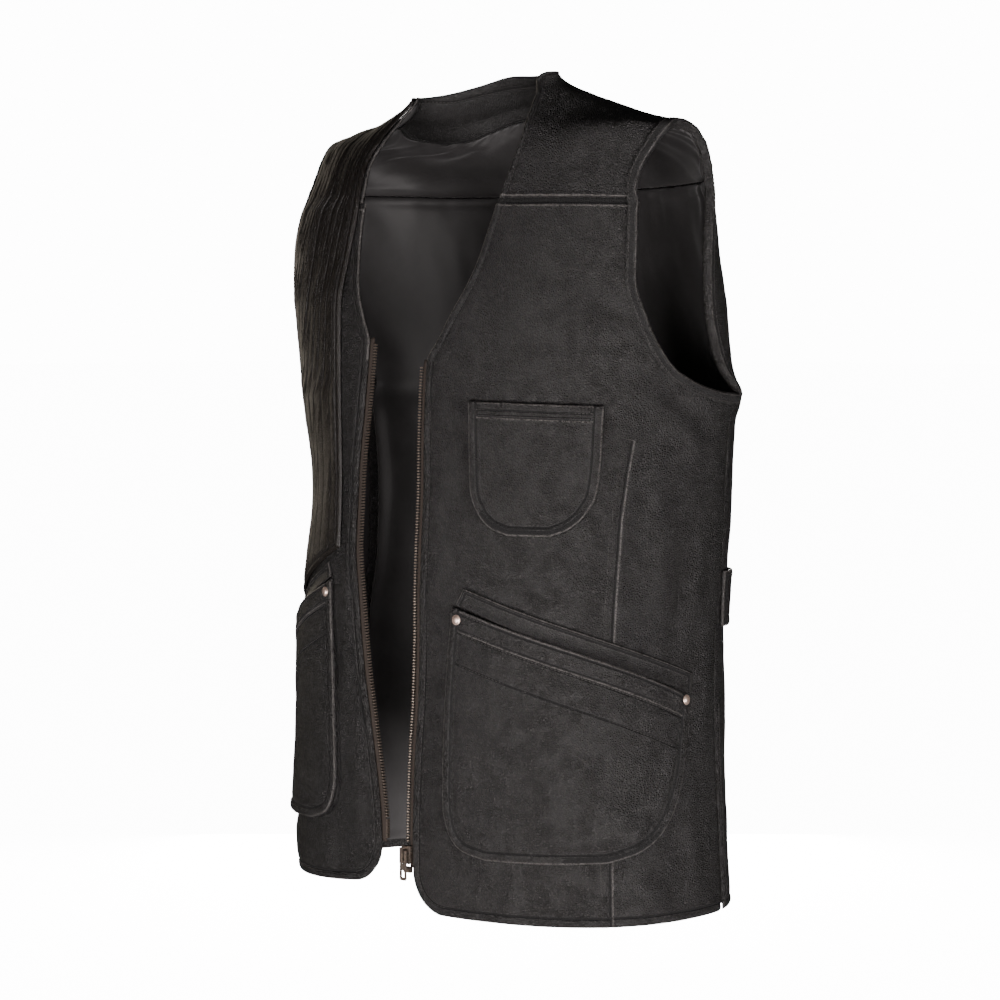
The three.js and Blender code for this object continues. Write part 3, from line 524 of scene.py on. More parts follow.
def woven(name, dark, light, scale):
    """Woven zip tape."""
    shader = Shader(name, Specular_IOR_Level=0.3)
    across = shader.node("ShaderNodeTexWave", {"bands_direction": "Z"},
                         {"Vector": shader.place, "Scale": scale, "Distortion": 0.6, "Detail": 1.0})
    fuzz = shader.noise(2400, 3)
    color = shader.blend(shader.step(across * 0.6 + fuzz * 0.5, 0.25, 0.85), dark, light)
    normal = shader.bump(across + fuzz * 0.5, 0.00012, 0.7)
    return shader.feed(Base_Color=color, Roughness=0.75 + fuzz * 0.15, Normal=normal)


def thread(name, dark, light):
    """Twisted sewing thread."""
    shader = Shader(name, Specular_IOR_Level=0.45)
    strands = shader.noise(2600, 2)
    color = shader.blend(shader.step(strands, 0.3, 0.7), dark, light)
    normal = shader.bump(strands, 0.00008, 0.6)
    return shader.feed(Base_Color=color, Roughness=0.5 + strands * 0.2, Normal=normal)


HIDE = leather("hide", (0.003, 0.0027, 0.0026), (0.017, 0.0156, 0.0148), 0.36)
QUILT = leather("quilt hide", (0.004, 0.0032, 0.0026), (0.014, 0.0112, 0.009), 0.33, 0.35, 520, 0.3)
TRIM = leather("trim hide", (0.003, 0.0027, 0.0026), (0.017, 0.0156, 0.0148), 0.36, 0.8, 520)
# A darker, rougher copy of the trim leather for the back neck facing: painted shade for the facing inside the
# neck.
SHADED_TRIM = leather("shaded trim hide", (0.002, 0.0018, 0.0017), (0.009, 0.0083, 0.008), 0.46, 0.6, 520)
SATIN = satin("lining satin", (0.015, 0.014, 0.014), (0.027, 0.0255, 0.026))
BRASS = metal("antique brass", (0.05, 0.04, 0.033), (0.26, 0.215, 0.18), 0.36)
COPPER = metal("antique copper", (0.5, 0.36, 0.30), (0.95, 0.76, 0.66), 0.3)
TAPE = woven("zip tape", (0.016, 0.012, 0.010), (0.045, 0.034, 0.027), 900)
THREAD = thread("thread", (0.026, 0.024, 0.0225), (0.046, 0.043, 0.041))


# Building pieces.
def build(name, points, faces, materials, index=None, values=None, rounded=True):
    """A piece that rides on the vest's body."""
    mesh = bpy.data.meshes.new(name)
    mesh.from_pydata(points.tolist(), [], faces)
    for material in materials:
        mesh.materials.append(material)
    mesh.polygons.foreach_set("use_smooth", np.full(len(faces), rounded))
    if index is not None:
        mesh.polygons.foreach_set("material_index", index)
    for key, data in (values or {}).items():
        layer = mesh.attributes.new(key, "FLOAT", "POINT")
        layer.data.foreach_set("value", data.astype(np.float32))
    mesh.validate()
    obj = bpy.data.objects.new(name, mesh)
    bpy.context.collection.objects.link(obj)
    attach(obj, "vest")
    return obj


def stands_for(node):
    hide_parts(node)


def shell(name, turn, climb, inner, outer, material, lining=None, stitch_and_shade=FAR, wear_and_highlight=FAR):
    """A closed wall over a grid of spots, with its outer and inner faces and its rims.

    The last two arguments are the distances of each spot from its dark lines, which are stitching and painted
    shade, and from its lighter edge lines, which are wear and painted highlight.
    """
    turn, climb = np.broadcast_arrays(turn, climb)
    rows, columns = turn.shape
    outside = garment(turn, climb, outer + 0 * turn)
    inside = garment(turn, climb, inner + 0 * turn)
    points = np.concatenate((outside.reshape(-1, 3), inside.reshape(-1, 3)))
    grid = np.arange(rows * columns).reshape(rows, columns)
    corners = (grid[:-1, :-1], grid[:-1, 1:], grid[1:, 1:], grid[1:, :-1])
    front = np.stack([c.ravel() for c in corners], 1)
    back = front[:, ::-1] + rows * columns
    border = np.concatenate((grid[0], grid[1:, -1], grid[-1, -2::-1], grid[-2:0:-1, 0]))
    following = np.roll(border, -1)
    far = rows * columns
    rim = np.stack((following, border, border + far, following + far), 1)
    faces = np.concatenate((front, back, rim))
    i, j = rows // 2, columns // 2
    across = outside[i, j + 1] - outside[i, j]
    up = outside[i + 1, j] - outside[i, j]
    if np.dot(np.cross(across, up), outside[i, j] - inside[i, j]) < 0:
        faces = faces[:, ::-1]
    index = np.zeros(len(faces), np.int32)
    if lining:
        index[len(front):2 * len(front)] = 1
    no_lines = np.full(turn.size, FAR)
    values = {key: np.concatenate(((away + 0 * turn).ravel(), no_lines))
              for key, away in (("stitch_and_shade", stitch_and_shade), ("wear_and_highlight", wear_and_highlight))}
    materials = [material] + ([lining] if lining else [])
    return build(name, points, faces.tolist(), materials, index, values)


def sweep(name, rings, material, loop=False, stitch_and_shade=FAR, wear_and_highlight=FAR):
    """A closed wall along a path: rings has one ring of points for each place on it."""
    count, size = rings.shape[:2]
    base = np.arange(count if loop else count - 1)[:, None]
    k = np.arange(size)[None, :]
    after, beside = (base + 1) % count, (k + 1) % size
    quads = np.stack((base * size + k, base * size + beside, after * size + beside, after * size + k), -1)
    faces = [list(f) for f in quads.reshape(-1, 4)]
    if not loop:
        faces.append(list(range(size))[::-1])
        faces.append([(count - 1) * size + n for n in range(size)])
    values = {key: (away + np.zeros((count, size))).ravel()
              for key, away in (("stitch_and_shade", stitch_and_shade), ("wear_and_highlight", wear_and_highlight))}
    wall = build(name, rings.reshape(-1, 3), faces, [material], None, values)
    center = rings[0].mean(0)
    normal = np.cross(rings[0][1] - rings[0][0], rings[1][0] - rings[0][0])
    if np.dot(normal, rings[0][0] - center) < 0:
        wall.data.flip_normals()
    return wall


stitch_points = []
stitch_faces = []
STITCH_LONG, STITCH_GAP, STITCH_THICK = 2.8, 0.5, 0.34


def stitches(line, normals):
    """A row of sewn stitches along a line of points, in metres."""
    runs = np.linalg.norm(np.diff(line, axis=0), axis=1) * 1000
    length = np.concatenate(([0], np.cumsum(runs)))
    starts = np.arange(0.5, length[-1] - STITCH_LONG, STITCH_LONG + STITCH_GAP)

    def at(where, data):
        return np.stack([np.interp(where, length, data[:, k]) for k in range(3)], -1)

    head, tail = at(starts, line), at(starts + STITCH_LONG, line)
    up = unit(at(starts + STITCH_LONG / 2, normals))
    along = unit(tail - head)
    side = np.cross(along, up)
    middle = (head + tail) / 2
    half = np.linalg.norm(tail - head, axis=1)[:, None] / 2
    thick = STITCH_THICK / 1000
    template = [(-1, 0, -0.7)]
    for station, swell in ((-0.62, 0.85), (0.0, 1.0), (0.62, 0.85)):
        template += [(station, swell, 0), (station, 0, swell), (station, -swell, 0), (station, 0, -0.8)]
    template.append((1, 0, -0.7))
    points = np.stack([middle + along * half * a + side * thick * b + up * thick * c
                       for a, b, c in template], 1)
    faces = [(0, 1 + k, 1 + (k + 1) % 4) for k in range(4)]
    for r in (1, 5):
        faces += [(r + k, r + 4 + k, r + 4 + (k + 1) % 4, r + (k + 1) % 4) for k in range(4)]
    faces += [(13, 9 + (k + 1) % 4, 9 + k) for k in range(4)]
    base = sum(len(p) for p in stitch_points)
    stitch_points.append(points.reshape(-1, 3))
    for n in range(len(starts)):
        shift = base + n * len(template)
        stitch_faces.extend([tuple(shift + q for q in face) for face in faces])


def sew(turn, climb, out):
    """Stitches along a line of spots on the body."""
    turn, climb = np.broadcast_arrays(np.asarray(turn, float), np.asarray(climb, float))
    low = garment(turn, climb, out + 0 * turn)
    stitches(low, garment(turn, climb, out + 2.0 + 0 * turn) - low)


def sew_flat(sign, line, out):
    """Stitches along a line of girths and heights."""
    line = np.asarray(line, float)
    runs = np.concatenate(([0], np.cumsum(np.hypot(*np.diff(line, axis=0).T))))
    fine = np.linspace(0, runs[-1], int(runs[-1] / 3))
    girth = np.interp(fine, runs, line[:, 0])
    height = np.interp(fine, runs, line[:, 1])
    sew(*spot_at(sign, girth, height), out)


# Fronts.
EDGE_STEPS = np.array((0, 0.4, 1.0, 1.9, 3.0, 4.4, 5.8, 6.7, 7.5, 8.3, 9.4, 11.2, 13.4))


def seam_height(turn):
    """The height of the yoke's front seam, which runs between its two ends' turns."""
    first, last = YOKE["neckTurn"][0], YOKE["outTurn"][0]
    return mix(YOKE_SEAM_NECK, YOKE_SEAM_ARM, (np.abs(np.degrees(turn)) - first) / (last - first))


def vent(height):
    return VENT_HALF * np.maximum(0, 1 - height / SIDE_VENT) ** 0.8


def side_of_front(height):
    return side_edge(height, "front") - SEAM / 2 - vent(height)


def side_of_back(height):
    return side_edge(height, "back") + SEAM / 2 + vent(height)


def edge_of_front(hand, height):
    fall = np.maximum(0, HEM_CORNER - height)
    return front_edge(height, hand) + HEM_CORNER - np.sqrt(np.maximum(HEM_CORNER**2 - fall**2, 0))


def lifted_spot(sign, girth, height):
    turn = turn_at(sign * girth, height)
    share = smooth((height - 500) / 90)
    return turn, climb_at(height + share * (seam_height(turn) - FRONT_TOP))


def steps_between(low, high, spacing, ends=EDGE_STEPS):
    """Rows from low to high, close together at the two ends."""
    count = max(int((high - low - 2 * ends[-1]) / spacing), 2)
    middle = np.linspace(low + ends[-1], high - ends[-1], count)
    return np.concatenate((low + ends[:-1], middle, high - ends[-2::-1]))


def edge_columns(low, high, count):
    """Columns between two edges that change from row to row, close together at both edges."""
    last = EDGE_STEPS[-1]
    share = np.linspace(0, 1, count)[None, :]
    middle = mix(low[:, None] + last, high[:, None] - last, share)
    return np.concatenate((low[:, None] + EDGE_STEPS[:-1], middle, high[:, None] - EDGE_STEPS[-2::-1]), 1)


DART = ((222, 396), (213, 331), (208, 233), (203, 53), (202, 0))
FRONT_FOLDS = {
    "left": (
        ((222, 410), (214, 255), 11, 1.6, 0.6), ((243, 400), (262, 240), 13, 2.2, 0.7),
        ((300, 330), (282, 215), 9, 2.2, 0.8), ((310, 250), (296, 130), 8, 1.8, 0.6),
        ((52, 440), (55, 60), 8, 0.9, 0.8), ((90, 560), (140, 440), 14, 1.4, 0.5),
        ((200, 545), (225, 450), 9, 1.8, 0.7), ((250, 448), (318, 408), 7, 2.4, 0.8),
        ((215, 446), (300, 380), 9, 1.6, 0.7), ((60, 315), (190, 290), 9, 1.0, 0.6),
        ((90, 292), (200, 262), 7, 0.9, 0.7), ((120, 48), (118, 2), 10, 1.3, 0.6),
        ((232, 50), (238, 2), 11, 2.0, 0.8), ((280, 110), (286, 2), 12, 2.4, 0.8),
        ((60, 470), (105, 435), 8, 1.1, 0.6),
    ),
    "right": (
        ((50, 440), (48, 240), 9, 1.4, 0.7), ((44, 330), (60, 120), 8, 1.6, 0.7),
        ((35, 180), (45, 30), 9, 1.4, 0.6), ((90, 48), (95, 2), 12, 2.0, 0.7),
        ((200, 50), (190, 2), 12, 2.2, 0.7), ((290, 170), (300, 10), 11, 2.0, 0.7),
    ),
}


def camber(u):
    """The rise of a lower pocket's mouth over the line between its corners."""
    return LOWER_CAMBER * 4 * u * (1 - u)


def outline_point(read, u, v):
    girth = mix(read(v, "inGirth"), read(v, "outGirth"), u)
    rise = camber(u) * (1 - v) if read is lower_outline else 0
    return girth, mix(read(v, "inHeight"), read(v, "outHeight"), u) + rise


def pocket_rim(read):
    """The pocket's sides and foot as one line."""
    v = np.linspace(0, 1, 60)
    u = np.linspace(0, 1, 24)[1:-1]
    side_in = np.stack(outline_point(read, 0 * v, v), -1)
    foot = np.stack(outline_point(read, u, 1 + 0 * u), -1)
    side_out = np.stack(outline_point(read, 1 + 0 * v, v), -1)[::-1]
    return np.concatenate((side_in, foot, side_out))


def pocket_mouth(read):
    u = np.linspace(0, 1, 9)
    return np.stack(outline_point(read, u, 0 * u), -1)


def front_outline(hand):
    """The front's neck edge, front edge and hem as girth and height, from the yoke down."""
    down = np.concatenate((np.linspace(FRONT_TOP, HEM_CORNER, 120), np.linspace(HEM_CORNER, 0, 24)[1:]))
    edge = [(float(edge_of_front(hand, h)), float(h)) for h in down]
    return edge + [(float(side_of_front(0.0)), 0.0)]


rows = steps_between(0.0, FRONT_TOP, 2.7)
for hand, sign in HANDS:
    girth = edge_columns(edge_of_front(hand, rows), side_of_front(rows), 118)
    height = np.broadcast_to(rows[:, None], girth.shape)
    outline = front_outline(hand)
    away, _ = to_line(girth, height, outline)
    side_away = np.abs(side_of_front(rows)[:, None] - girth)
    inside = smooth(away / 16)
    relief = crumple(girth, height, 3 if sign > 0 else 8) * (0.35 + 0.65 * inside)
    relief = add_folds(relief, girth, height, FRONT_FOLDS[hand], 0.2 + 0.8 * inside)
    relief = relief + turned_edge(away, 0.8)
    pucker = bell(away - TOPSTITCH, 3.5) * noise(girth / 4.5, height / 4.5, 17)
    relief = relief + 0.16 * pucker
    seam_away = FRONT_TOP - height
    relief = relief - 1.1 * (1 - smooth((seam_away - 3.6) / 1.4)) + 0.5 * bell(seam_away - 6, 1.2)
    relief = relief - 0.8 * np.exp(-side_away / 1.4)
    dart_away, _ = to_line(girth, height, DART)
    aside = np.abs(dart_away)
    relief = relief - 0.7 * bell(aside, 1.3) + 0.5 * bell(aside - 4, 3)
    if sign < 0:
        under_patch = smooth((girth - 62) / 6) * smooth((height - 200) / 20)
        relief = np.where(under_patch > 0, np.minimum(relief, 0.6), relief)
    # Under the patch the leather lies flat, and everywhere its relief is kept within limits.
    relief = np.clip(relief, -1.6, 4.5)
    dart_side = girth - np.interp(height, [h for _, h in DART[::-1]], [g for g, _ in DART[::-1]])
    dart_side = only(height < DART[0][1], dart_side)
    pocket_shadows = [to_line(girth, height, pocket_rim(lower_outline))[0]]
    if sign > 0:
        pocket_shadows.append(to_line(girth, height, pocket_rim(chest_outline))[0])
    # Dark lines: topstitching and the dart seam, and painted shadow in a band below the yoke's raised edge
    # and along the edge of each pocket.
    stitch_and_shade = nearest(away - TOPSTITCH, dart_side, np.maximum(seam_away - 3.6, 0), *pocket_shadows)
    # Lighter lines, worn leather and painted highlight: the front edge high up, the bead below the yoke seam
    # and the ridge beside the dart.
    wear_and_highlight = nearest(only(height > 440, away - 0.6), seam_away - 6.2, dart_side - 1.9)
    turn, climb = lifted_spot(sign, girth, height)
    panel = shell(f"front_panel_{hand}", turn, climb, 0.0, LEATHER + relief, HIDE,
                  SATIN, stitch_and_shade, wear_and_highlight)
    stands_for(f"front_{hand}")
    line = np.array(outline)
    sewn = line + inward_from(line) * TOPSTITCH
    sewn = sewn[(sewn[:, 1] > TOPSTITCH - 0.2) & (sewn[:, 1] < FRONT_TOP - 2)]
    sew_turn, sew_climb = lifted_spot(sign, sewn[:, 0], sewn[:, 1])
    sew(sew_turn, sew_climb, ON_LEATHER)

# Back. Columns run from the wearer's left side edge round to the right one.
BACK_FOLDS = (
    ((60, 380), (75, 130), 16, 2.4, 0.7), ((-64, 390), (-80, 120), 16, 2.4, 0.7),
    ((140, 340), (150, 90), 14, 2.0, 0.7), ((-138, 340), (-152, 90), 14, 2.0, 0.7),
    ((-20, 330), (-12, 40), 15, 1.4, 0.7), ((90, 560), (30, 480), 12, 1.6, 0.6),
    ((-90, 560), (-30, 480), 12, 1.6, 0.6), ((185, 420), (120, 370), 9, 2.0, 0.7),
    ((-185, 420), (-120, 370), 9, 2.0, 0.7),
)


def back_spot(arc, height):
    """The turn and climb at a distance from the middle of the back."""
    turn = turn_at(half_girth(height) - np.abs(arc), height)
    return np.where(arc < 0, -turn, turn), climb_at(height)


rows = steps_between(0.0, BACK_SEAM - SEAM / 2, 4.2)
half = half_girth(rows) - side_of_back(rows)
arc = edge_columns(-half, half, 104)[:, ::-1]
height = np.broadcast_to(rows[:, None], arc.shape)
side_away = half[:, None] - np.abs(arc)
below_vent = smooth((SIDE_VENT + 6 - height) / 12)
away = np.minimum(height, side_away + 40 * (1 - below_vent))
relief = crumple(arc, height, 21) * smooth(np.minimum(away, side_away) / 16)
relief = add_folds(relief, arc, height, BACK_FOLDS)
seam_away = BACK_SEAM - height
relief = relief + turned_edge(away) - 0.8 * np.exp(-side_away / 1.4)
relief = relief - 0.9 * np.exp(-seam_away / 1.2) + 0.6 * bell(seam_away - 5, 2.2)
turn, climb = back_spot(arc, height)
back = shell("back_panel", turn, climb, 0.0, LEATHER + np.clip(relief, -1.6, 4.5), HIDE, None,
             away - TOPSTITCH)
stands_for("back")
hem = np.linspace(-half[0] + TOPSTITCH, half[0] - TOPSTITCH, 160)
sew(*back_spot(hem, np.full(hem.shape, TOPSTITCH)), ON_LEATHER)
for side in (1, -1):
    levels = np.linspace(TOPSTITCH, SIDE_VENT - 4, 70)
    edge = half_girth(levels) - side_of_back(levels) - TOPSTITCH
    sew(*back_spot(side * edge, levels), ON_LEATHER)


# Yoke.
def yoke_spot(u, way):
    """The turn and climb at a share out from the neck, and a way round it: 1 is the middle back."""
    along = np.where(way > 1, 2 - way, way)
    turn = np.radians(mix(yoke_edge(along, "neckTurn"), yoke_edge(along, "outTurn"), u))
    share = smooth((along - 0.48) / 0.12)
    low, high = yoke_edge(along, "neckHeight"), yoke_edge(along, "outHeight") + SEAM / 2
    seam = SEAM * np.maximum(0, 1 - along / 0.06)
    climb = mix(climb_at(mix(low, high, u) + seam), mix(climb_at(low), climb_at(high), u), share)
    return np.where(way > 1, -turn, turn), climb


fine_ways = np.linspace(0, 1, 401)
middle_line = bare(*yoke_spot(0.5 + 0 * fine_ways, fine_ways))
yoke_run = run_along(middle_line)


def way_at(run):
    """The yoke's way at a length along its middle from the left front seam."""
    whole = yoke_run[-1]
    return np.where(run > whole, 2 - np.interp(2 * whole - run, yoke_run, fine_ways),
                    np.interp(run, yoke_run, fine_ways))


def yoke_grid(ways, low=0.0, high=1.0, count=30):
    """Columns of the yoke from its neck edge outwards, with their lengths in millimetres."""
    neck, arm = bare(*yoke_spot(0 * ways, ways)), bare(*yoke_spot(1 + 0 * ways, ways))
    run = np.linalg.norm(arm - neck, axis=1)
    columns = edge_columns(low * run, high * run, count)
    return columns / run[:, None], columns, run


YOKE_FOLDS = (
    ((20, 40), (95, 70), 12, 1.6, 0.6), ((15, 95), (90, 120), 13, 1.3, 0.6),
    ((30, 620), (95, 590), 12, 1.4, 0.6), ((20, 330), (80, 350), 14, 1.2, 0.6),
    ((110, 60), (80, 120), 8, 1.2, 0.6),
)
runs = steps_between(0.0, 2 * yoke_run[-1], 3.4)
ways = way_at(runs)
u, across, run = yoke_grid(ways, count=34)
way = np.broadcast_to(ways[:, None], u.shape)
along = np.broadcast_to(runs[:, None], u.shape)
neck_away, out_away = across, run[:, None] - across
front_away = np.minimum(along, 2 * yoke_run[-1] - along)
back_part = smooth((np.minimum(way, 2 - way) - 0.62) / 0.03)
relief = crumple(across, along, 31) * smooth(np.minimum(neck_away, out_away) / 14)
relief = add_folds(relief, across, along, YOKE_FOLDS)
relief = relief + turned_edge(neck_away, 0.9)
relief = relief + 1.3 * bell(front_away - 2.4, 2.0) - 1.1 * np.exp(-front_away / 0.7)
relief = relief - 0.8 * np.exp(-out_away / 1.2)
relief = relief + back_part * 0.8 * bell(out_away - 4, 2.4)
patched = smooth((way - 1.48) / 0.02)
relief = np.where(patched > 0, np.minimum(relief, 0.7), relief)
stitch_and_shade = nearest(neck_away - TOPSTITCH, only(back_part > 0.5, out_away - 7.5))
# Lighter lines, worn leather and painted highlight: the raised bead at the front seams and the neck edge.
wear_and_highlight = nearest(front_away - 1.7 + 0.5 * noise(across / 5, along / 5, 37), neck_away - 0.7)
turn, climb = yoke_spot(u, way)
yoke = shell("shoulder_yoke", turn, climb, 0.0, LEATHER + np.clip(relief, -1.4, 3.6), HIDE, SATIN, stitch_and_shade,
             wear_and_highlight)
stands_for("yoke")
line = way_at(np.linspace(1, 2 * yoke_run[-1] - 1, 420))
_, _, line_run = yoke_grid(line)
sew(*yoke_spot(TOPSTITCH / line_run, line), ON_LEATHER)
line = way_at(np.linspace(yoke_run[-1] * 0.66, yoke_run[-1] * 1.34, 220))
line = line[(line > 0.645) & (line < 1.355)]
_, _, line_run = yoke_grid(line)
sew(*yoke_spot(1 - TOPSTITCH / line_run, line), ON_LEATHER)

# Inside of the back: the leather facing, the lining's yoke and the lining.
UNDER_YOKE, FACING, FACING_FOOT, FACING_RISE = -0.95, 1.4, 0.5, 0.1
UNDER_BACK, LINING_INSET, LINING_FOOT = -1.5, 3, 8.0
inside_low = np.interp(0.46, fine_ways, yoke_run)
runs = steps_between(inside_low, 2 * yoke_run[-1] - inside_low, 2.6)
ways = way_at(runs)


def facing_foot(ways):
    """The share of the yoke that the facing covers. It is less behind the neck."""
    return FACING_FOOT - FACING_RISE * smooth((np.minimum(ways, 2 - ways) - 0.55) / 0.3)


def under_yoke(name, node, low, high, thick, swell, material):
    """A piece inside the yoke, sewn where its inner face shows."""
    u, across, run = yoke_grid(ways, low, high, 24)
    way = np.broadcast_to(ways[:, None], u.shape)
    along = np.broadcast_to(runs[:, None], u.shape)
    near = across - (low * run)[:, None]
    far = (high * run)[:, None] - across
    relief, stitch_and_shade = swell(near, far, along)
    turn, climb = yoke_spot(u, way)
    piece = shell(name, turn, climb, UNDER_YOKE - thick - relief, UNDER_YOKE, material)
    values = np.full(2 * u.size, FAR, np.float32)
    values[u.size:] = stitch_and_shade.ravel()
    piece.data.attributes["stitch_and_shade"].data.foreach_set("value", values)
    stands_for(node)
    return piece


def facing_swell(near, far, along):
    relief = turned_edge(near, 0.6) + turned_edge(far, 0.6) + crumple(near, along, 41, 0.5)
    return relief, nearest(near - TOPSTITCH, far - 5.5)


def pleat_swell(near, far, along):
    """Soft pleats where the satin is eased into the facing and the lining's seam."""
    bend = 8 * noise(near / 22, along / 40, 51)
    pleats = 1.7 * noise((along + bend) / 15, near / 46, 52)
    pleats = pleats + 0.9 * noise((along - bend) / 6.5, near / 30, 53)
    sagging = 2.2 * bell(far - 7, 6) * (0.6 + 0.4 * noise(along / 24, near / 9, 54))
    return 1.6 + pleats + sagging - 1.6 * np.exp(-far / 1.2) - 1.2 * np.exp(-near / 3), FAR + 0 * near


foot = facing_foot(ways)
under_yoke("back_neck_facing", "neck_facing", 0 * foot, foot - 0.003, FACING, facing_swell, SHADED_TRIM)
under_yoke("lining_yoke_satin", "lining_yoke", foot, 0.997 + 0 * foot, LINING, pleat_swell, SATIN)
line = way_at(np.linspace(inside_low + 8, 2 * yoke_run[-1] - inside_low - 8, 200))
_, _, line_run = yoke_grid(line)
for share in (TOPSTITCH / line_run, facing_foot(line) - 5.5 / line_run):
    turn, climb = yoke_spot(share, line)
    low = garment(turn, climb, UNDER_YOKE - FACING + 0.1 + 0 * turn)
    stitches(low, garment(turn, climb, UNDER_YOKE - FACING - 2 + 0 * turn) - low)

rows = steps_between(LINING_FOOT, BACK_SEAM - 0.7, 4.0)
half = half_girth(rows) - side_of_back(rows) - LINING_INSET
arc = edge_columns(-half, half, 104)[:, ::-1]
height = np.broadcast_to(rows[:, None], arc.shape)
near_top = bell(BACK_SEAM - height, 90)
bend = 26 * noise(arc / 90, height / 110, 61)
waves = 2.0 * noise((arc + bend) / 44, height / 170, 62)
waves = waves + near_top * 1.8 * noise((arc - bend) / 13, height / 60, 63)
slack = 1.2 * noise((arc + 0.6 * height) / 26, (height - 0.4 * arc) / 70, 64)
edges = smooth(np.minimum(half[:, None] - np.abs(arc), height - LINING_FOOT) / 14)
seam_roll = 2.6 * bell(BACK_SEAM - 6 - height, 5.5) * (0.7 + 0.3 * noise(arc / 17, height / 9, 65))
pleat = fold(arc, height, (0, 604), (4, 60), 6, 2.4, 0.9)
relief = (2.4 + waves + slack + pleat) * edges + seam_roll
relief = np.clip(relief - 2.0 * np.exp(-(BACK_SEAM - height) / 1.4), 0, 9)
turn, climb = back_spot(arc, height)
satin_back = shell("back_lining_satin", turn, climb, UNDER_BACK - LINING - relief, UNDER_BACK, SATIN)
stands_for("lining_back")


# Seam allowances turned inside behind the seams.
ALLOWANCE, TURNED_IN, TURNED_OUT = 7, -0.85, -0.12
across_seam = np.linspace(-ALLOWANCE, ALLOWANCE, 5)[:, None]
for hand, sign in HANDS:
    turn = np.radians(np.linspace(YOKE["neckTurn"][0] + 1, YOKE["outTurn"][0] - 0.8, 40))[None, :]
    climb = climb_at(seam_height(turn) + across_seam)
    shell(f"yoke_seam_allowance_{hand}", sign * turn, climb, TURNED_IN, TURNED_OUT, TRIM)
    level = np.linspace(5, 429, 90)[None, :]
    girth = side_edge(level, "front") + across_seam
    shell(f"side_seam_allowance_{hand}", *spot_at(sign, girth, level), TURNED_IN, TURNED_OUT, TRIM)
reach = float(half_girth(BACK_SEAM) - side_of_back(BACK_SEAM)) - 3
turn, climb = back_spot(np.linspace(-reach, reach, 90)[None, :], BACK_SEAM + across_seam)
shell("back_seam_allowance", turn, climb, TURNED_IN, TURNED_OUT, TRIM)


# Armhole bindings.
def walk(turn, climb, step):
    """The spot reached by a step in space along the body."""
    goal = bare(turn, climb) + step
    t, c = turn.copy(), climb.copy()
    for _ in range(6):
        p = bare(t, c)
        a = (bare(t + 0.002, c) - p) / 0.002
        b = (bare(t, np.minimum(c + 0.5, CLIMBED)) - p) / 0.5
        miss = goal - p
        aa, ab, bb = (a * a).sum(-1), (a * b).sum(-1), (b * b).sum(-1)
        ma, mb = (miss * a).sum(-1), (miss * b).sum(-1)
        det = aa * bb - ab * ab
        t, c = t + (ma * bb - mb * ab) / det, c + (mb * aa - ma * ab) / det
    return t, c


def armhole_edge():
    up = np.concatenate((np.linspace(430, 453, 70), np.linspace(454, 588, 70)))
    over = np.linspace(0.04, 0.625, 110)
    down = np.concatenate((np.linspace(603, 454, 80), np.linspace(453, 432, 50)))
    parts = (spot_at(1, side_of_front(up), up), yoke_spot(np.ones(over.shape), over),
             spot_at(1, side_of_back(down), down))
    turn, climb = (np.concatenate([part[k] for part in parts]) for k in (0, 1))
    place = bare(turn, climb)
    run = run_along(place)
    even = np.linspace(0, run[-1], 300, endpoint=False)
    return np.interp(even, run, turn), np.interp(even, run, climb), even


hole_turn, hole_climb, hole_run = armhole_edge()
place = bare(hole_turn, hole_climb)
tangent = unit(np.roll(place, -2, axis=0) - np.roll(place, 2, axis=0))
away_from_hole = unit(np.cross(bare_normal(hole_turn, hole_climb), tangent))
# The binding's section: reach from the armhole's edge over the leather, and distance out.
RING = (
    (8.0, 2.9), (8.3, 3.2), (7.6, 3.6), (6.2, 3.4), (4.6, 3.8), (2.6, 4.3), (0.8, 4.1), (-0.9, 3.2),
    (-1.6, 1.0), (-1.6, -1.5), (-0.9, -3.6), (1.5, -4.3), (5.0, -4.4), (7.6, -4.0), (7.9, -3.4),
    (5.0, -3.3), (0.2, -3.0), (-0.3, -2.0), (-0.3, 2.3), (0.4, 2.9),
)
for hand, sign in HANDS:
    rings = []
    for reach, out in RING:
        rolled = abs(out) > 3.1
        wobble = 0.7 * rolled * noise(hole_run / 6.5, hole_run * 0 + reach / 3, 71 + sign)
        edge_wave = 0.8 * (rolled and reach > 5) * noise(hole_run / 5.5, hole_run * 0 + 2, 75 + sign)
        t, c = walk(hole_turn, hole_climb, away_from_hole * (reach + edge_wave)[:, None])
        rings.append(garment(sign * t, c, out + wobble))
    # Painted shade in the hollow of the binding's upper face, round its topstitching, and a lighter line on
    # its rolled lip that is worn leather and painted highlight.
    groove_shade = np.array([0.8 if 2 < reach < 7 and out > 3 else 4.0 for reach, out in RING])
    lip = np.array([0.2 if reach < 1.5 and out > 4 else 2.4 for reach, out in RING])
    binding = sweep(f"armhole_rolled_binding_{hand}", np.stack(rings, 1), TRIM, True, groove_shade, lip)
    stands_for(f"armhole_binding_{hand}")
    t, c = walk(hole_turn, hole_climb, away_from_hole * 6.3)
    t, c = np.append(t, t[0]), np.append(c, c[0])
    sew(sign * t, c, 3.75)


# Pockets.
def face_out(outs, u, v):
    """How far out a pocket's face lies, at a share across and a share down."""
    mouth, foot, belly = outs
    across = 4 * u * (1 - u)
    gape = (mouth - POCKET_RIM) * across**0.7 * (1 - smooth(v * 1.4))
    return mix(POCKET_RIM, foot, smooth(v * 1.15)) + gape + belly * across * 4 * v * (1 - v * 0.75)


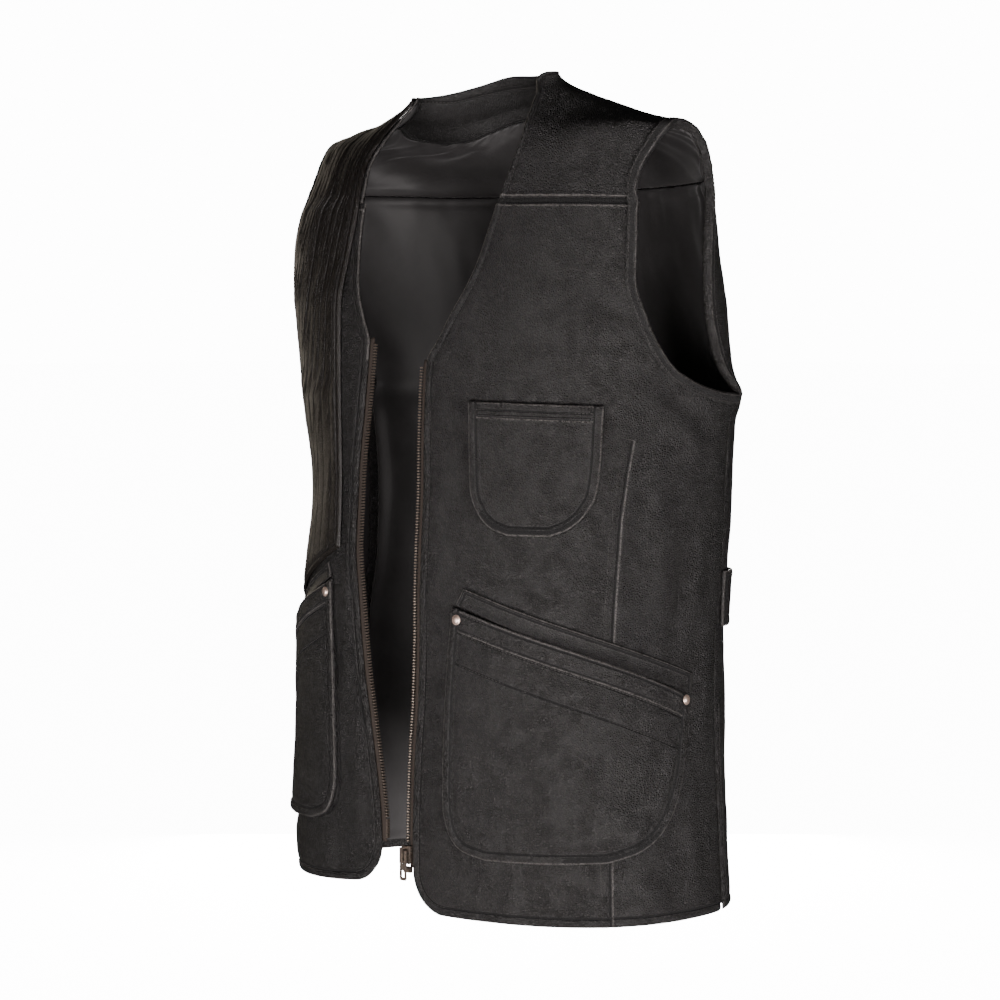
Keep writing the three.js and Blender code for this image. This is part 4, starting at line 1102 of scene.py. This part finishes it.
POCKET_FOLDS = (
    ((266, 150), (236, 82), 6, 1.5, 0.7), ((270, 168), (228, 172), 4, 1.0, 0.8),
    ((84, 66), (132, 92), 6, 1.1, 0.7), ((240, 70), (190, 96), 7, 1.3, 0.7),
    ((100, 215), (190, 160), 9, 0.8, 0.6), ((72, 140), (84, 70), 5, 0.8, 0.7),
)


def v_at_depth(read, u, depth):
    """How far down the pocket a line parallel to the mouth lies at a share across."""
    v = np.linspace(0, 0.6, 121)
    girth, height = outline_point(read, u + 0 * v, v)
    away, _ = to_line(girth, height, pocket_mouth(read))
    return float(np.interp(depth, away, v))


def pocket(name, node, sign, read, outs, border, bands, lines, seed, count, shadow_from):
    """A pocket's face with its raised border, hem bands and stitch lines."""
    tall = read.columns["inHeight"][0] - read.columns["inHeight"][-1]
    v = (steps_between(0.0, tall, 2.0) / tall)[:, None]
    wide = np.hypot(*[b - a for a, b in zip(outline_point(read, 0, v), outline_point(read, 1, v))])
    columns = edge_columns(0 * wide[:, 0], wide[:, 0], count)
    u = columns / wide
    v = np.broadcast_to(v, u.shape)
    girth, height = outline_point(read, u, v)
    rim_away, rim_run = to_line(girth, height, pocket_rim(read))
    mouth_away, mouth_run = to_line(girth, height, pocket_mouth(read))
    inside = smooth((rim_away - border) / 10)
    relief = crumple(girth, height, seed, 0.75) * (0.3 + 0.7 * inside)
    if read is lower_outline:
        relief = add_folds(relief, girth, height, POCKET_FOLDS, inside)
    strip = 1 - smooth((rim_away - border + 0.5) / 1.3)
    relief = relief + 0.9 * strip - 0.65 * bell(rim_away - border - 1.0, 1.0)
    relief = relief - 1.3 * np.exp(-rim_away / 0.8) + 0.35 * bell(rim_away - 3.5, 2.2)
    relief = relief + 0.25 * strip * noise(rim_run / 5.5, rim_away / 6, seed + 7)
    off_strip = 1 - strip
    for edge, rise in bands:
        relief = relief + rise * off_strip * (1 - smooth((mouth_away - edge + 0.6) / 1.3))
        relief = relief - 0.5 * off_strip * bell(mouth_away - edge - 1.2, 1.0)
    relief = relief - 1.2 * np.exp(-mouth_away / 0.8) + 0.3 * bell(mouth_away - 3, 2)
    stitch_and_shade = rim_away - border + 0.4
    # Painted shadow: a dark band just inside the pocket's foot, towards its outer side.
    foot_shadow = smooth((v - 0.72) / 0.1) * smooth((u - shadow_from) / 0.2)
    stitch_and_shade = nearest(stitch_and_shade, np.maximum(np.abs(rim_away - 3.4) - 1.1, 0) + FAR * (1 - foot_shadow))
    off_border = strip < 0.5
    # Lighter lines, worn leather and painted highlight: the pocket's outer edge, its mouth and its hem band's
    # edge.
    wear_and_highlight = nearest(rim_away - 1.1, only(off_border, mouth_away - 1.0))
    wear_and_highlight = nearest(wear_and_highlight, only(off_border, mouth_away - bands[0][0] + 0.8))
    for depth in lines:
        stitch_and_shade = nearest(stitch_and_shade, only(off_border, mouth_away - depth))
        ease = bell(mouth_away - depth, 4) * off_strip
        relief = relief + ease * (0.28 * noise(mouth_run / 5.0, mouth_away / 9, seed + 9) - 0.12)
    low = face_out(outs, u, v)
    top = low + POCKET_FACE + np.clip(relief, -1.2, 2.6)
    face = shell(name, *spot_at(sign, girth, height), low, top, HIDE, None, stitch_and_shade, wear_and_highlight)
    stands_for(node)

    def on_face(u, v, extra):
        """Stitches along a line of shares on the face."""
        g, h = outline_point(read, u, v)
        sew(*spot_at(sign, g, h), face_out(outs, u, v) + POCKET_FACE + extra)

    share = np.linspace(0.06, 0.94, 90)
    for depth in lines:
        on_face(share, np.array([v_at_depth(read, q, depth) for q in share]), 0.25)


def gusset(name, node, sign, read, outs, width, seed):
    """The pocket's bellows wall, from the panel out to the face."""
    v = np.linspace(0.1, 1, 70)
    u = np.linspace(0, 1, 36)[1:-1]
    us = np.concatenate((0 * v, u, 1 + 0 * v))
    vs = np.concatenate((v, 1 + 0 * u, v[::-1]))
    girth, height = outline_point(read, us, vs)
    path = np.stack((girth, height), -1)
    inward = inward_from(path)
    top = np.maximum(mix(POCKET_RIM, outs[1], smooth(vs * 1.15)) - SEAM, 2.9)
    run = run_along(path)
    rings = []
    for share, aside, amount in ((0, 0.6, 0), (0.25, 1.3, 1), (0.5, 1.9, 1), (0.75, 1.2, 1), (1, 0.6, 0),
                                 (1, 0.6 + width, 0), (0.5, 1.9 + width, 1), (0, 0.6 + width, 0)):
        depth = aside + amount * 0.5 * noise(run / 8, share + 0 * run, seed)
        spot = path + inward * depth[:, None]
        rings.append(lay(sign * spot[:, 0], spot[:, 1], mix(2.3, top, share)))
    wall = sweep(name, np.stack(rings, 1), TRIM)
    stands_for(node)


for hand, sign in HANDS:
    outs = POCKET_OUT[hand]
    pocket(f"lower_pocket_face_{hand}", f"lower_pocket_{hand}", sign, lower_outline, outs, 8.2,
           ((17.5, 0.8),), (2.7, 15.2, 18.3, 43.0), 81 + 5 * sign, 84, 0.45)
    gusset(f"lower_pocket_bellows_{hand}", f"lower_pocket_{hand}_gusset", sign, lower_outline, outs, 1.6, 91)
pocket("chest_pocket_face", "chest_pocket", 1, chest_outline, POCKET_OUT["chest"], 8.0, ((14.0, 0.6),),
       (6.5, 12.6), 101, 46, -0.3)
gusset("chest_pocket_bellows", "chest_pocket_gusset", 1, chest_outline, POCKET_OUT["chest"], 6.0, 103)

# The slanted band behind each lower pocket's mouth. It reaches a little way down behind the face.
BAND_UNDER, BAND_LONG, BAND_TALL = 4.5, 210, 18.6
for hand, sign in HANDS:
    v = np.concatenate((EDGE_STEPS[:6], np.linspace(5.5, 13, 6), BAND_TALL - EDGE_STEPS[5::-1])) / BAND_TALL
    ends = EDGE_STEPS[:6] / BAND_LONG
    u = np.concatenate((ends, np.linspace(0.03, 0.97, 96), 1 - ends[::-1]))
    u, v = np.broadcast_arrays(u[None, :], v[:, None])
    girth = mix(mix(77, 84, v), mix(284, 287, v), u)
    foot = mix(260.5, 184.5, u) - BAND_UNDER * np.sin(np.pi * u)
    height = mix(foot, mix(274, 202, u), v) + camber(u) * mix(1, 0.3, v)
    edge_away = np.minimum((1 - v) * BAND_TALL, np.minimum(u, 1 - u) * BAND_LONG)
    relief = turned_edge(edge_away, 0.5) + 0.3 * noise(girth / 7, height / 7, 111)
    reach_out = 0.8 * (POCKET_OUT[hand][0] - 3.6) * np.sin(np.pi * u) ** 0.7 * (1 - smooth(v / 0.45))
    out = 3.6 + np.clip(relief, -1.1, 1.2) + reach_out
    # The band's lighter line just inside its edges is worn leather and painted highlight.
    band = shell(f"pocket_mouth_band_{hand}", *spot_at(sign, girth, height), 2.1, out, TRIM, None,
                 nearest(edge_away - 4.5, edge_away), edge_away - 1.3)
    stands_for(f"pocket_band_{hand}")
    sew_flat(sign, ((86, 268.7), (185, 234.3), (285, 197.0)), 3.6)

# Shooting patch: quilted channels from the pocket band over the right shoulder.
CHANNEL_COLUMNS = 12
share = np.linspace(0, 1, 58)[:, None]
u = np.linspace(0, 1, PATCH_RIBS * CHANNEL_COLUMNS + 1)[None, :]
upper = np.linspace(PATCH_TURN, 584, 80)[1:, None]
inner = np.concatenate((mix(PATCH_FOOT[0], PATCH_TURN, share), upper))
outer = np.concatenate((mix(PATCH_FOOT[1], PATCH_TURN, share), upper))
girth = mix(patch_edge(inner, "inner"), patch_arm(outer, "outer"), u)
foot_share = np.clip((PATCH_TURN - inner) / (PATCH_TURN - PATCH_FOOT[0]), 0, 1)
height = mix(inner, outer, u) + camber(u) * 0.5 * foot_share
turn, climb = lifted_spot(-1, girth, height)
over = np.linspace(0.03, 0.49, 62)
_, _, over_run = yoke_grid(over)
over_outer = 1 - (BINDING + 4 + 90 * np.maximum(0, over - 0.4)) / over_run
over_u = mix(3.2 / over_run[:, None], over_outer[:, None], u)
over_turn, over_climb = yoke_spot(over_u, np.broadcast_to(over[:, None], over_u.shape))
turn, climb = np.concatenate((turn, -over_turn)), np.concatenate((climb, over_climb))
place = bare(turn, climb)
wide = np.linalg.norm(place[:, -1] - place[:, 0], axis=1)[:, None]
along = run_along(place[:, 60])[:, None] + 0 * u
channel = u * PATCH_RIBS
number = np.minimum(np.floor(channel), PATCH_RIBS - 1)
phase = np.abs(np.sin(np.pi * channel))
fullness = 0.8 + 0.3 * noise(along / 60, number * 3.1, 121)
puckers = 0.55 * noise(along / 8 + number * 5, channel * 1.6, 122)
puckers = puckers + 0.3 * noise(along / 21, channel * 0.9, 123)
creases = 0.6 * (1 - np.abs(noise(along / 46 + channel, channel * 0.9, 124))) ** 5
rumples = 1.1 * noise(along / 90, channel * 0.7, 125)
quilting = 5.6 + (0.45 * fullness + creases) * phase**0.6 + 0.25 * puckers * phase**0.35 + 0.8 * rumples
side_away = np.minimum(u, 1 - u) * wide
end_away = np.minimum(along, along[-1] - along)
border = np.minimum(side_away, end_away)
rim = 4.5 + 1.5 * bell(border - 3.0, 2.0) - 0.9 * np.exp(-border / 0.7)
quilting = mix(rim + 0 * quilting, quilting, smooth((border - 4.5) / 5))
channel_away = (channel - np.round(channel)) * wide / PATCH_RIBS
stitch_and_shade = np.where(border > 6, nearest(channel_away, border - 6.2), border - 6.2)
patch = shell("quilted_shooting_patch", turn, climb, 3.3, np.clip(quilting, 4.0, 10.4), QUILT, None, stitch_and_shade)
stands_for("shooting_patch")

# Side tabs.
TAB_UNDER, TAB_THICK, TAB_BOW = 2.3, 2.0, 2.5
TAB_FROM, TAB_FOOT, TAB_LONG, TAB_TALL = 331, 236, 41, 47


def tab_shares(length):
    """Shares of a tab's side, close together at its two ends."""
    inner = np.linspace(EDGE_STEPS[5], length - EDGE_STEPS[5], 14)
    return np.concatenate((EDGE_STEPS[:5], inner, length - EDGE_STEPS[4::-1])) / length


for hand, sign in HANDS:
    u, v = np.broadcast_arrays(tab_shares(TAB_LONG)[None, :], tab_shares(TAB_TALL)[:, None])
    girth, height = mix(TAB_FROM, TAB_FROM + TAB_LONG, u), mix(TAB_FOOT, TAB_FOOT + TAB_TALL, v)
    away = np.minimum(np.minimum(u, 1 - u) * TAB_LONG, np.minimum(v, 1 - v) * TAB_TALL)
    under = TAB_UNDER + TAB_BOW * np.sin(np.pi * u)
    relief = np.clip(turned_edge(away, 0.4) * 0.7 + 0.2 * noise(girth / 6, height / 6, 131), -0.9, 0.8)
    # The tab's lighter line just inside its edges is worn leather and painted highlight.
    tab = shell(f"waist_tab_{hand}", *spot_at(sign, girth, height), under, under + TAB_THICK + relief,
                TRIM, None, away - 4, away - 0.9)
    stands_for(f"side_tab_{hand}")

# Zip: tapes and separate teeth.
TOOTH_PITCH, TOOTH_TALL = 2.45, 1.35
TOOTH = ((-8.0, -1.5), (-7.7, -2.1), (-6.6, -2.3), (-4.9, -1.9), (-4.7, -0.6), (-4.9, 0.5), (-6.6, 0.9),
         (-7.7, 0.7))
for hand, sign in HANDS:
    levels = np.linspace(TAPE_FOOT, ZIP_HEAD + 4, 150)
    offsets = np.linspace(-4.4, 8, 6)
    girth = front_edge(levels, hand)[:, None] + offsets
    height = np.broadcast_to(levels[:, None], girth.shape)
    tape = shell(f"zip_woven_tape_{hand}", *spot_at(sign, girth, height), -1.6,
                 -0.6 + 0.12 * noise(girth / 3, height / 5, 141), TAPE)
    stands_for(f"zip_tape_{hand}")
    levels = np.arange(ZIP_FOOT + 0.6, ZIP_HEAD - 1, TOOTH_PITCH)
    rings = []
    for lift, shrink in ((-0.5, 0.9), (-0.32, 1.0), (0.32, 1.0), (0.5, 0.9)):
        for offset, out in TOOTH:
            girth = front_edge(levels, hand) + mix(-6.35, offset, shrink)
            rings.append(lay(sign * girth, levels + lift * TOOTH_TALL, mix(-0.7, out, shrink)))
    points = np.stack(rings, 1)
    count = len(TOOTH)
    single = []
    for r in range(3):
        single += [[r * count + k, r * count + (k + 1) % count, (r + 1) * count + (k + 1) % count,
                    (r + 1) * count + k] for k in range(count)]
    caps = [list(range(count))[::-1], [3 * count + k for k in range(count)]]
    faces = []
    for n in range(len(levels)):
        shift = n * 4 * count
        for face in single + caps:
            faces.append([shift + q for q in (face if sign > 0 else face[::-1])])
    teeth = build(f"zip_brass_teeth_{hand}", points.reshape(-1, 3), faces, [BRASS], rounded=False)
    stands_for(f"zip_teeth_{hand}")

for name in ("zip_slider", "zip_pull", "zip_box", "zip_pin"):
    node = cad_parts[name]
    node.data.materials.clear()
    node.data.materials.append(BRASS)
    bevel = node.modifiers.new("worn edges", "BEVEL")
    bevel.width = 0.0003
    bevel.segments = 2
    bevel.limit_method = "ANGLE"

# Rivets: domed caps on a rolled washer.
CAP = ((0.0, 2.1), (0.9, 2.07), (1.8, 1.93), (2.5, 1.68), (3.0, 1.34), (3.3, 1.05), (3.5, 0.95), (3.75, 1.02),
       (4.05, 0.92), (4.25, 0.6), (4.28, 0.2), (4.1, 0.0))
CAP_SIDES, CAP_LIFT, CAP_DOWN = 32, 0.9, 0.035
for hand, sign in HANDS:
    for side, u in (("front", 0.035), ("side", 0.972)):
        g, h = outline_point(lower_outline, u, CAP_DOWN)
        base, aside, below = (
            lay(sign * (g + dg), h + dh,
                float(face_out(POCKET_OUT[hand], u + du, CAP_DOWN + dv)) + POCKET_FACE + CAP_LIFT)
            for dg, dh, du, dv in ((0, 0, 0, 0), (2, 0, 2 / 207, 0), (0, -3, 0, 0.04)))
        up = np.cross(below - base, aside - base) * sign
        up = up / np.linalg.norm(up)
        right = unit(np.cross(up, (0, 0, 1)))
        forward = np.cross(right, up)
        angles = np.linspace(0, 2 * math.pi, CAP_SIDES, endpoint=False)
        points = [base + up * CAP[0][1] / 1000]
        for radius, rise in CAP[1:]:
            for angle in angles:
                spoke = right * math.cos(angle) + forward * math.sin(angle)
                points.append(base + (spoke * radius + up * rise) / 1000)
        faces = [[0, 1 + k, 1 + (k + 1) % CAP_SIDES] for k in range(CAP_SIDES)]
        for r in range(len(CAP) - 2):
            a, b = 1 + r * CAP_SIDES, 1 + (r + 1) * CAP_SIDES
            faces += [[a + k, b + k, b + (k + 1) % CAP_SIDES, a + (k + 1) % CAP_SIDES]
                      for k in range(CAP_SIDES)]
        faces.append([1 + (len(CAP) - 2) * CAP_SIDES + k for k in range(CAP_SIDES)][::-1])
        cap = build(f"rivet_cap_{side}_{hand}", np.array(points), faces, [COPPER])
        stands_for(f"rivet_{side}_{hand}")

build("topstitching", np.concatenate(stitch_points), stitch_faces, [THREAD])

# Floor, light and camera.
FLOOR_DROP, FLOOR_HALF = -1.15, 60
floor_mesh = bpy.data.meshes.new("floor")
corners = [(x * FLOOR_HALF, y * FLOOR_HALF, FLOOR_DROP) for x, y in ((-1, -1), (1, -1), (1, 1), (-1, 1))]
floor_mesh.from_pydata(corners, [], [(0, 1, 2, 3)])
floor = bpy.data.objects.new("floor", floor_mesh)
bpy.context.collection.objects.link(floor)
pale = Shader("pale floor", Roughness=0.9, Base_Color=(0.95, 0.95, 0.95, 1), Emission_Strength=13.5,
              Emission_Color=(1, 1, 1, 1))
floor_mesh.materials.append(pale.material)
floor.visible_diffuse = False
floor.visible_glossy = False
floor.visible_shadow = False

world = bpy.data.worlds.new("studio")
world.use_nodes = True
AROUND, BEHIND = 0.02, 14.0      # the studio's light on the vest, and the white seen behind it
air = world.node_tree.nodes["Background"]
sees = world.node_tree.nodes.new("ShaderNodeLightPath")
choose = world.node_tree.nodes.new("ShaderNodeMix")
choose.inputs["A"].default_value = AROUND
choose.inputs["B"].default_value = BEHIND
world.node_tree.links.new(sees.outputs["Is Camera Ray"], choose.inputs["Factor"])
world.node_tree.links.new(choose.outputs["Result"], air.inputs["Strength"])
air.inputs["Color"].default_value = (1, 1, 1, 1)
bpy.context.scene.world = world


def softbox(name, azimuth, elevation, distance, size, power, color=(1, 1, 1)):
    """A square light that faces the vest."""
    light = bpy.data.lights.new(name, "AREA")
    light.size = size
    light.energy = power
    light.color = color
    lamp = bpy.data.objects.new(name, light)
    bpy.context.collection.objects.link(lamp)
    a, e = math.radians(azimuth), math.radians(elevation)
    away = np.array((math.sin(a) * math.cos(e), -math.cos(a) * math.cos(e), math.sin(e)))
    lamp.location = (away * distance + (0, 0, VEST_MIDDLE)).tolist()
    lamp.rotation_euler = (math.pi / 2 - e, 0, a)


VEST_MIDDLE = -0.32              # height of the vest's middle, which the lights face
WARM = (1.0, 0.945, 0.935)
softbox("key", 43, -17, 3.0, 1.2, 108, WARM)
softbox("front", 0, -18, 3.0, 1.2, 84, WARM)
softbox("side", 86, -12, 2.8, 1.2, 76, WARM)
softbox("back", 224, -4, 3.0, 1.2, 90, WARM)
softbox("rim", -112, 12, 2.2, 1.2, 5, (1.0, 0.88, 0.72))

LENS, SENSOR, CAMERA_TURN = 102.6, 36, 44
camera_data = bpy.data.cameras.new("camera")
camera_data.lens = LENS
camera_data.sensor_width = SENSOR
camera_data.shift_x = -0.0205
camera_data.shift_y = -0.173
camera = bpy.data.objects.new("camera", camera_data)
camera.location = (1.7366, -1.7683, -0.185)
camera.rotation_euler = (math.pi / 2, 0, math.radians(CAMERA_TURN))
bpy.context.collection.objects.link(camera)
bpy.context.scene.camera = camera
